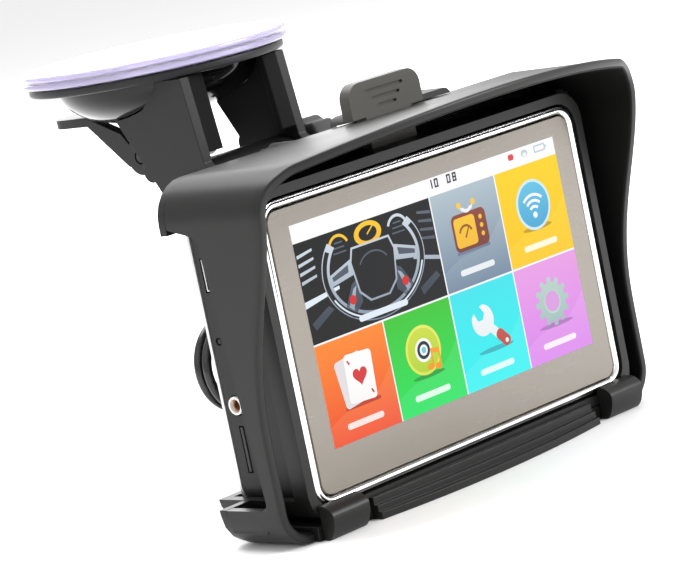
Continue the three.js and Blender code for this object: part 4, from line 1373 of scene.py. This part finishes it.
def digit_bars(character, x, z, width, height, stroke):
    """The bars of a seven-bar figure with its lower left corner at a point."""
    h, mid = height / 2, z + height / 2
    bars = {
        "a": (x, x + width, z + height - stroke, z + height), "d": (x, x + width, z, z + stroke),
        "g": (x, x + width, mid - stroke / 2, mid + stroke / 2),
        "f": (x, x + stroke, mid, mid + h), "b": (x + width - stroke, x + width, mid, mid + h),
        "e": (x, x + stroke, z, mid), "c": (x + width - stroke, x + width, z, mid),
    }
    return [box_outline(*bars[key]) for key in SEGMENTS[character]]


class NAVIGATOR_OT_display(bpy.types.Operator):
    """Finish the touch panel and lay the lit picture with its seven tiles on it"""

    bl_idname = "navigator.display"
    bl_label = "Display"
    bl_options = {"REGISTER", "UNDO"}

    def execute(self, context):
        screen = context.scene.navigator_screen
        refine("touch_panel", "screen_glass", 0.12)
        self.status_bar(screen)
        self.road_view(screen)
        self.tiles(screen)
        return {"FINISHED"}

    @staticmethod
    def status_bar(screen):
        white = ink(screen, "white", (250, 250, 252))
        dark = ink(screen, "clock", (45, 45, 60))
        red = ink(screen, "alert", (220, 70, 70))
        pale = ink(screen, "status_icon", (190, 205, 215))
        p = Picture(screen, "display_backlight")
        p.shape(box_outline(LIT_LEFT, LIT_RIGHT, LIT_LOW, LIT_HIGH), white, 0)
        p.build()
        p = Picture(screen, "display_status_bar")
        x = 0.6
        for character in "10 08":
            if character == " ":
                x += 2.4
                continue
            overlap = 0
            for bar in digit_bars(character, x, 27.0, 1.35, 2.2, 0.42):
                p.shape(bar, dark, 1 + overlap)
                overlap = (overlap + 1) % 2
            x += 2.1
        p.shape(rounded(2.0, 1.5, 0.5, 31.1, 28.0, 4), red, 1)
        p.shape(oval(36.2, 27.9, 1.2, 0.9), pale, 1)
        p.shape(oval(36.2, 27.6, 0.7, 0.5), white, 2)
        p.shape(rounded(4.2, 1.9, 0.3, 42.0, 28.0, 3), pale, 1)
        p.shape(rounded(3.4, 1.1, 0.2, 42.0, 28.0, 3), white, 2)
        p.shape(box_outline(44.1, 44.6, 27.6, 28.4), pale, 1)
        p.build()

    @staticmethod
    def road_view(screen):
        """Dark dashboard with a plain steering wheel, dials and vents."""
        black = ink(screen, "dash_black", (2, 3, 6), (8, 10, 16), "X")
        steel = ink(screen, "dash_steel", (120, 135, 155), (215, 225, 235))
        glint = ink(screen, "dash_glint", (225, 235, 245))
        shade = ink(screen, "dash_shade", (48, 56, 68), (95, 105, 120))
        amber = ink(screen, "dash_amber", (235, 110, 10), (250, 205, 40))
        red = ink(screen, "dash_red", (210, 40, 40))
        left, right = LIT_LEFT, COLUMN_LINES[1] - LINE_HALF
        low, high = ROW_LINE + LINE_HALF, STATUS_FOOT
        cx, cz = -22.8, 14.6
        p = Picture(screen, "tile_road_view")
        p.shape(box_outline(left, right, low, high), black, 1)
        for i in range(4):
            z = 15.2 + 2.1 * i
            p.shape([(left + 0.4, z), (left + 5.6, z + 0.9),
                     (left + 5.6, z + 1.5), (left + 0.4, z + 0.8)], steel, 2)
            p.shape([(right - 5.0, z + 0.9), (right - 0.4, z),
                     (right - 0.4, z + 0.8), (right - 5.0, z + 1.5)], shade, 2)
        p.shape([(left, 9.6), (left + 12, 11.6), (left + 12, 12.4), (left, 11.2)], glint, 2)
        p.shape([(right - 9, 12.2), (right, 10.0), (right, 11.0), (right - 9, 13.2)], steel, 2)
        p.shape([(left + 2, 4.0), (left + 9, 7.4), (left + 7.4, 8.6), (left + 1, 5.8)], shade, 2)
        p.shape([(right - 8, 3.0), (right - 1.2, 6.2), (right - 2.2, 7.6), (right - 8.6, 5.0)], shade, 2)
        p.shape(oval(cx, 22.0, 4.7, 2.9, steps=30), amber, 2)
        p.shape(oval(cx, 22.0, 3.1, 1.8, steps=24), black, 3)
        p.shape([(cx - 0.25, 21.6), (cx + 2.2, 23.4), (cx + 2.0, 23.7), (cx - 0.4, 22.0)], amber, 4)
        for side in (-1, 1):
            x = cx + side * 10.2
            p.band(oval(x, 20.8, 3.6, 3.4, 20, 160, 12), oval(x, 20.8, 2.9, 2.7, 20, 160, 12),
                   amber if side < 0 else steel, 2)
            for tick in range(3):
                z = 19.6 + 1.2 * tick
                p.shape(box_outline(x - 2.2 + tick * 0.4, x + 2.2 - tick * 0.4, z, z + 0.35), shade, 3)
        outer = oval(cx, cz, 17.6, 13.3, 142, 398, 60)
        inner = oval(cx, cz, 15.0, 10.9, 142, 398, 60)
        p.band(outer, inner, steel, 4)
        p.band(oval(cx, cz, 17.3, 13.0, 150, 390, 60), oval(cx, cz, 15.9, 11.7, 150, 390, 60), black, 5)
        p.band(oval(cx, cz, 16.9, 12.6, 205, 250, 20), oval(cx, cz, 16.4, 12.2, 205, 250, 20), glint, 6)
        p.band(oval(cx, cz, 16.9, 12.6, 290, 345, 20), oval(cx, cz, 16.4, 12.2, 290, 345, 20), glint, 6)
        for side in (-1, 1):
            def at(points):
                made = [(cx + side * u, v) for u, v in points]
                return made if side > 0 else list(reversed(made))
            p.shape(at([(7.0, 17.6), (15.6, 15.0), (15.2, 12.4), (7.4, 13.6)]), steel, 4)
            p.shape(at([(8.6, 16.4), (14.4, 14.6), (14.2, 13.6), (8.8, 14.6)]), shade, 5)
            p.shape(at([(6.0, 12.8), (8.6, 11.6), (12.4, 5.8), (9.8, 3.6), (6.0, 6.8)]), shade, 4)
            p.shape(at([(7.2, 11.0), (8.4, 10.4), (10.8, 6.6), (9.4, 5.4)]), steel, 5)
            p.shape(oval(cx + side * 9.2, 8.0, 1.15, steps=16), red, 6)
        p.shape([(cx - 7.8, 16.6), (cx - 6.6, 20.0), (cx + 6.6, 20.0), (cx + 7.8, 16.6), (cx + 6.6, 9.0),
                 (cx + 3.4, 6.2), (cx - 3.4, 6.2), (cx - 6.6, 9.0)], steel, 5)
        p.shape([(cx - 7.3, 16.5), (cx - 6.2, 19.5), (cx + 6.2, 19.5), (cx + 7.3, 16.5), (cx + 6.1, 9.3),
                 (cx + 3.1, 6.7), (cx - 3.1, 6.7), (cx - 6.1, 9.3)], black, 6)
        p.band(oval(cx, 13.2, 5.6, 4.6, 30, 150, 16), oval(cx, 13.2, 5.2, 4.2, 30, 150, 16), shade, 7)
        p.shape(rounded(17, 1.5, 0.7, cx, 3.0, 4), glint, 7)
        p.build()

    def tiles(self, screen):
        x0, x1, x2 = COLUMN_LINES
        top = (ROW_LINE + LINE_HALF, STATUS_FOOT)
        foot = (LIT_LOW, ROW_LINE - LINE_HALF)
        self.tile(screen, "radio", (x1, x2), top, (100, 124, 150), (178, 194, 204), self.radio)
        self.tile(screen, "phone", (x2, LIT_RIGHT), top, (248, 196, 0), (255, 212, 16), self.wireless)
        self.tile(screen, "games", (LIT_LEFT, x0), foot, (238, 66, 30), (252, 138, 40), self.cards)
        self.tile(screen, "music", (x0, x1), foot, (20, 226, 92), (58, 196, 44), self.disc)
        self.tile(screen, "tools", (x1, x2), foot, (40, 240, 240), (60, 226, 236), self.wrench)
        self.tile(screen, "settings", (x2, LIT_RIGHT), foot, (216, 130, 236), (232, 160, 228), self.gear)

    @staticmethod
    def tile(screen, name, across, up, low_colour, high_colour, icon):
        ground = ink(screen, "tile_" + name, low_colour, high_colour)
        light = ink(screen, "wave_" + name, *[tuple(c + (255 - c) * 0.1 for c in colour)
                                             for colour in (low_colour, high_colour)])
        label = ink(screen, "label_" + name, tuple(c + (255 - c) * 0.86 for c in low_colour))
        left = across[0] + (LINE_HALF if across[0] > LIT_LEFT else 0)
        right = across[1] - (LINE_HALF if across[1] < LIT_RIGHT else 0)
        cx, cz = (left + right) / 2, (up[0] + up[1]) / 2
        p = Picture(screen, "tile_" + name)
        p.shape(box_outline(left, right, *up), ground, 1)
        wave = [(left + (right - left) * i / 20,
                 up[0] + 5 + 9 * (i / 20) ** 1.6 + 1.2 * math.sin(i / 3)) for i in range(21)]
        p.shape([(left, up[0] + 0.01), (right, up[0] + 0.01), *reversed(wave)], light, 2)
        p.shape(rounded(12.5, 1.5, 0.7, cx, up[0] + 3.7, 4), label, 3)
        icon(screen, p, cx, cz + 1.8)
        p.build()

    @staticmethod
    def radio(screen, p, x, z):
        wood = ink(screen, "radio_wood", (104, 44, 40), (150, 76, 56))
        face = ink(screen, "radio_face", (236, 170, 20), (252, 208, 60))
        dial = ink(screen, "radio_dial", (150, 92, 20))
        dish = ink(screen, "radio_dish", (238, 242, 246))
        p.shape(rounded(12.0, 0.9, 0.4, x, z - 5.4, 4), ink(screen, "radio_shadow", (108, 126, 146)), 3)
        p.shape(rounded(12.4, 9.2, 1.6, x, z - 0.6, 6), wood, 4)
        p.shape(rounded(7.6, 7.4, 1.0, x - 1.7, z - 0.6, 5), face, 5)
        p.band(oval(x - 1.7, z - 1.4, 2.6, 2.6, 20, 160, 12),
               oval(x - 1.7, z - 1.4, 2.0, 2.0, 20, 160, 12), dial, 6)
        p.shape([(x - 1.9, z - 2.2), (x - 0.2, z + 0.4), (x - 0.5, z + 0.6), (x - 2.3, z - 1.9)], dial, 7)
        for i in range(3):
            p.shape(oval(x + 4.2, z + 1.8 - 2.1 * i, 0.6, steps=16), face, 6)
        p.band(oval(x, z + 5.4, 2.0, 1.6, 190, 350, 14), oval(x, z + 5.4, 1.1, 0.7, 190, 350, 14), dish, 5)
        for side in (-1, 1):
            stalk = box_outline(-0.2, 0.2, 0, 1.6)
            p.shape(turned_outline(stalk, -side * 30, x + side * 1.6, z + 4.4), dish, 5)
            p.shape(oval(x + side * 2.6, z + 6.0, 0.8, steps=16), face, 6)

    @staticmethod
    def wireless(screen, p, x, z):
        """A blue button with three plain arcs over a dot."""
        rim = ink(screen, "wireless_rim", (206, 236, 246))
        blue = ink(screen, "wireless_blue", (30, 140, 196), (110, 206, 236))
        white = ink(screen, "wireless_white", (250, 252, 255))
        p.shape(oval(x, z - 5.8, 5.4, 0.7), ink(screen, "wireless_shadow", (196, 156, 6)), 3)
        p.shape(oval(x, z, 6.3, 6.4), rim, 4)
        p.shape(oval(x, z, 5.6, 5.7), blue, 5)
        p.shape(oval(x, z - 2.6, 0.8, steps=18), white, 6)
        for i in range(3):
            r = 2.0 + 1.5 * i
            p.band(oval(x, z - 2.6, r + 0.45, r + 0.45, 48, 132, 14),
                   oval(x, z - 2.6, r - 0.25, r - 0.25, 48, 132, 14), white, 6)

    @staticmethod
    def cards(screen, p, x, z):
        paper = ink(screen, "card_paper", (244, 240, 238), (255, 255, 255))
        back = ink(screen, "card_back", (226, 222, 224))
        heart = ink(screen, "card_heart", (196, 34, 40), (226, 60, 60))
        p.shape(rounded(12.0, 0.9, 0.4, x + 0.4, z - 6.3, 4), ink(screen, "card_shadow", (190, 60, 30)), 3)
        p.shape(turned_outline(rounded(9.2, 11.8, 1.0), 8, x - 1.5, z - 0.1), back, 4)
        p.shape(turned_outline(rounded(9.2, 11.8, 1.0), -3, x + 1.0, z + 0.1), paper, 5)
        outline = []
        for i in range(40):
            t = 2 * math.pi * i / 40
            u = 16 * math.sin(t) ** 3
            v = 13 * math.cos(t) - 5 * math.cos(2 * t) - 2 * math.cos(3 * t) - math.cos(4 * t)
            outline.append((x + 1.0 + u * 0.15, z + 0.4 + v * 0.15))
        p.shape(outline, heart, 6)
        for side in (-1, 1):
            pip = rounded(1.3, 0.5, 0.2)
            p.shape(turned_outline(pip, -60, x + 1 + side * 3.1, z - side * 4.2), heart, 6)

    @staticmethod
    def disc(screen, p, x, z):
        rim = ink(screen, "disc_rim", (214, 222, 60), (236, 236, 110))
        face = ink(screen, "disc_face", (150, 200, 40), (214, 226, 70))
        white = ink(screen, "disc_white", (246, 248, 248))
        dark = ink(screen, "disc_hub", (20, 40, 50))
        blue = ink(screen, "disc_blue", (120, 200, 214))
        note = ink(screen, "disc_note", (240, 130, 20), (250, 180, 40))
        p.shape(oval(x, z - 5.9, 5.6, 0.6), ink(screen, "disc_shadow", (34, 160, 60)), 3)
        p.shape(oval(x - 0.4, z + 0.4, 6.1, steps=48), rim, 4)
        p.shape(oval(x - 0.4, z + 0.4, 5.4, steps=48), face, 5)
        for layer, radius, material in ((6, 2.9, white), (7, 2.2, dark), (8, 1.35, white), (9, 0.8, blue)):
            p.shape(oval(x - 0.4, z + 0.4, radius, steps=32), material, layer)
        p.shape(box_outline(x + 1.7, x + 2.15, z - 4.0, z + 0.2), note, 10)
        p.shape(box_outline(x + 4.25, x + 4.7, z - 4.5, z - 0.3), note, 10)
        p.shape([(x + 1.7, z - 0.9), (x + 4.7, z - 1.4), (x + 4.7, z - 0.2), (x + 1.7, z + 0.3)], note, 11)
        p.shape(oval(x + 1.0, z - 4.0, 1.15, 0.85, steps=20), note, 12)
        p.shape(oval(x + 3.55, z - 4.5, 1.15, 0.85, steps=20), note, 12)

    @staticmethod
    def wrench(screen, p, x, z):
        metal = ink(screen, "wrench_metal", (216, 224, 228), (248, 250, 252))
        grip = ink(screen, "wrench_grip", (176, 60, 52), (214, 96, 84))
        hole = ink(screen, "wrench_hole", (236, 236, 236))
        p.shape(oval(x + 1, z - 5.9, 6.4, 0.6), ink(screen, "wrench_shadow", (52, 180, 190)), 3)
        jaw = oval(0, 0, 3.9, 3.9, 128, 412, 40)
        mouth = [(1.35, 3.3), (1.5, 0.9), (0, 0.1), (-1.5, 0.9), (-1.35, 3.3)]
        head = turned_outline([*jaw, *mouth], 28, x - 2.0, z + 1.9)
        p.shape(head, metal, 5)
        p.shape(turned_outline(box_outline(-1.15, 1.15, -7.6, -2.8), 45, x - 2.0, z + 1.9), metal, 4)
        p.shape(turned_outline(rounded(2.9, 5.4, 1.3), 45, x + 4.1, z - 3.9), grip, 6)
        p.shape(oval(x + 5.1, z - 4.9, 0.6, steps=16), hole, 7)

    @staticmethod
    def gear(screen, p, x, z):
        metal = ink(screen, "gear_metal", (134, 178, 176), (196, 216, 206))
        rim = ink(screen, "gear_rim", (206, 226, 220), (170, 196, 190))
        middle = ink(screen, "gear_middle", (218, 158, 224))
        p.shape(oval(x, z - 5.9, 6.4, 0.6), ink(screen, "gear_shadow", (176, 120, 190)), 3)
        outline = []
        for i in range(12):
            for share, radius in ((-0.30, 4.9), (-0.20, 6.2), (0.20, 6.2), (0.30, 4.9)):
                angle = 2 * math.pi * (i + share) / 12
                outline.append((x + radius * math.cos(angle), z + radius * math.sin(angle)))
        p.shape(outline, metal, 4)
        p.shape(oval(x, z, 3.1, steps=36), rim, 5)
        p.shape(oval(x, z, 2.6, steps=36), middle, 6)


# ------------------------------------------------------------------ stage
class NAVIGATOR_OT_studio(bpy.types.Operator):
    """Lay the pale floor and set the camera and the soft lights"""

    bl_idname = "navigator.studio"
    bl_label = "Studio"
    bl_options = {"REGISTER", "UNDO"}

    def execute(self, context):
        scene = context.scene
        studio = scene.navigator_studio
        scene.view_settings.view_transform = "Standard"
        camera = bpy.data.cameras.new("camera")
        camera.lens = studio.lens
        camera.sensor_width = 36
        holder = link("camera", camera)
        holder.location = FACE + Vector(studio.camera_place)
        holder.rotation_euler = studio.camera_turn
        camera.clip_start = 0.01
        scene.camera = holder
        self.floor(studio)
        self.sky(scene, studio)
        middle = (Vector(CAD_BOX[0]) + Vector(CAD_BOX[1])) / 2
        for name, place, size, power in (
            ("overhead_softbox", (0.1, 0.25, 0.9), 0.9, studio.softbox_power),
            ("left_softbox", (-0.9, -0.2, 0.5), 0.6, studio.softbox_power * 0.06),
            ("front_softbox", (0.6, -0.9, 0.5), 0.6, studio.softbox_power * 0.8),
            ("back_softbox", (0.5, 0.9, 0.35), 0.7, studio.softbox_power * 0.3),
        ):
            lamp = bpy.data.lights.new(name, "AREA")
            lamp.shape = "SQUARE"
            lamp.size = size
            lamp.energy = power
            held = link(name, lamp)
            held.location = middle + Vector(place)
            held.rotation_euler = (middle - held.location).to_track_quat("-Z", "Y").to_euler()
        return {"FINISHED"}

    @staticmethod
    def floor(studio):
        half, steps = 6.0, 12
        bm = bmesh.new()
        grid = [[bm.verts.new((-half + 2 * half * i / steps, -half + 2 * half * j / steps, CAD_BOX[0][2]))
                 for j in range(steps + 1)] for i in range(steps + 1)]
        for i in range(steps):
            for j in range(steps):
                bm.faces.new((grid[i][j], grid[i + 1][j], grid[i + 1][j + 1], grid[i][j + 1]))
        mesh = bpy.data.meshes.new("studio_floor")
        bm.to_mesh(mesh)
        bm.free()
        mesh.materials.append(studio_floor_finish(studio))
        link("studio_floor", mesh)

    @staticmethod
    def sky(scene, studio):
        world = bpy.data.worlds.new("studio_sky")
        world.use_nodes = True
        background = world.node_tree.nodes["Background"]
        background.inputs["Color"].default_value = (1, 1, 1, 1)
        background.inputs["Strength"].default_value = studio.sky_strength
        scene.world = world


OPERATORS = (
    NAVIGATOR_OT_studio, NAVIGATOR_OT_lead, NAVIGATOR_OT_suction_cup, NAVIGATOR_OT_stem_and_lever,
    NAVIGATOR_OT_bracket, NAVIGATOR_OT_clamp_knob, NAVIGATOR_OT_ball_joint, NAVIGATOR_OT_sun_visor,
    NAVIGATOR_OT_cradle, NAVIGATOR_OT_latch, NAVIGATOR_OT_case, NAVIGATOR_OT_insides,
    NAVIGATOR_OT_ports, NAVIGATOR_OT_display,
)
SETTINGS = {
    "navigator_shell": ShellSettings, "navigator_visor": VisorSettings, "navigator_cup": CupSettings,
    "navigator_screen": ScreenSettings, "navigator_studio": StudioSettings,
}


class NAVIGATOR_PT_pieces(bpy.types.Panel):
    """Lists the pieces and their settings"""

    bl_idname = "NAVIGATOR_PT_pieces"
    bl_label = "Hooded Navigator"
    bl_space_type = "VIEW_3D"
    bl_region_type = "UI"
    bl_category = "Navigator"

    def draw(self, context):
        for attribute, group in SETTINGS.items():
            box = self.layout.box()
            for name in group.__annotations__:
                box.prop(getattr(context.scene, attribute), name)
        for operator in OPERATORS:
            self.layout.operator(operator.bl_idname)


CLASSES = (*SETTINGS.values(), *OPERATORS, NAVIGATOR_PT_pieces)


def register():
    for cls in CLASSES:
        bpy.utils.register_class(cls)
    for attribute, group in SETTINGS.items():
        setattr(bpy.types.Scene, attribute, PointerProperty(type=group))


def unregister():
    for attribute in SETTINGS:
        delattr(bpy.types.Scene, attribute)
    for cls in reversed(CLASSES):
        bpy.utils.unregister_class(cls)


def main():
    register()
    for operator in OPERATORS:
        group, name = operator.bl_idname.split(".")
        getattr(getattr(bpy.ops, group), name)()


if __name__ == "__main__":
    main()
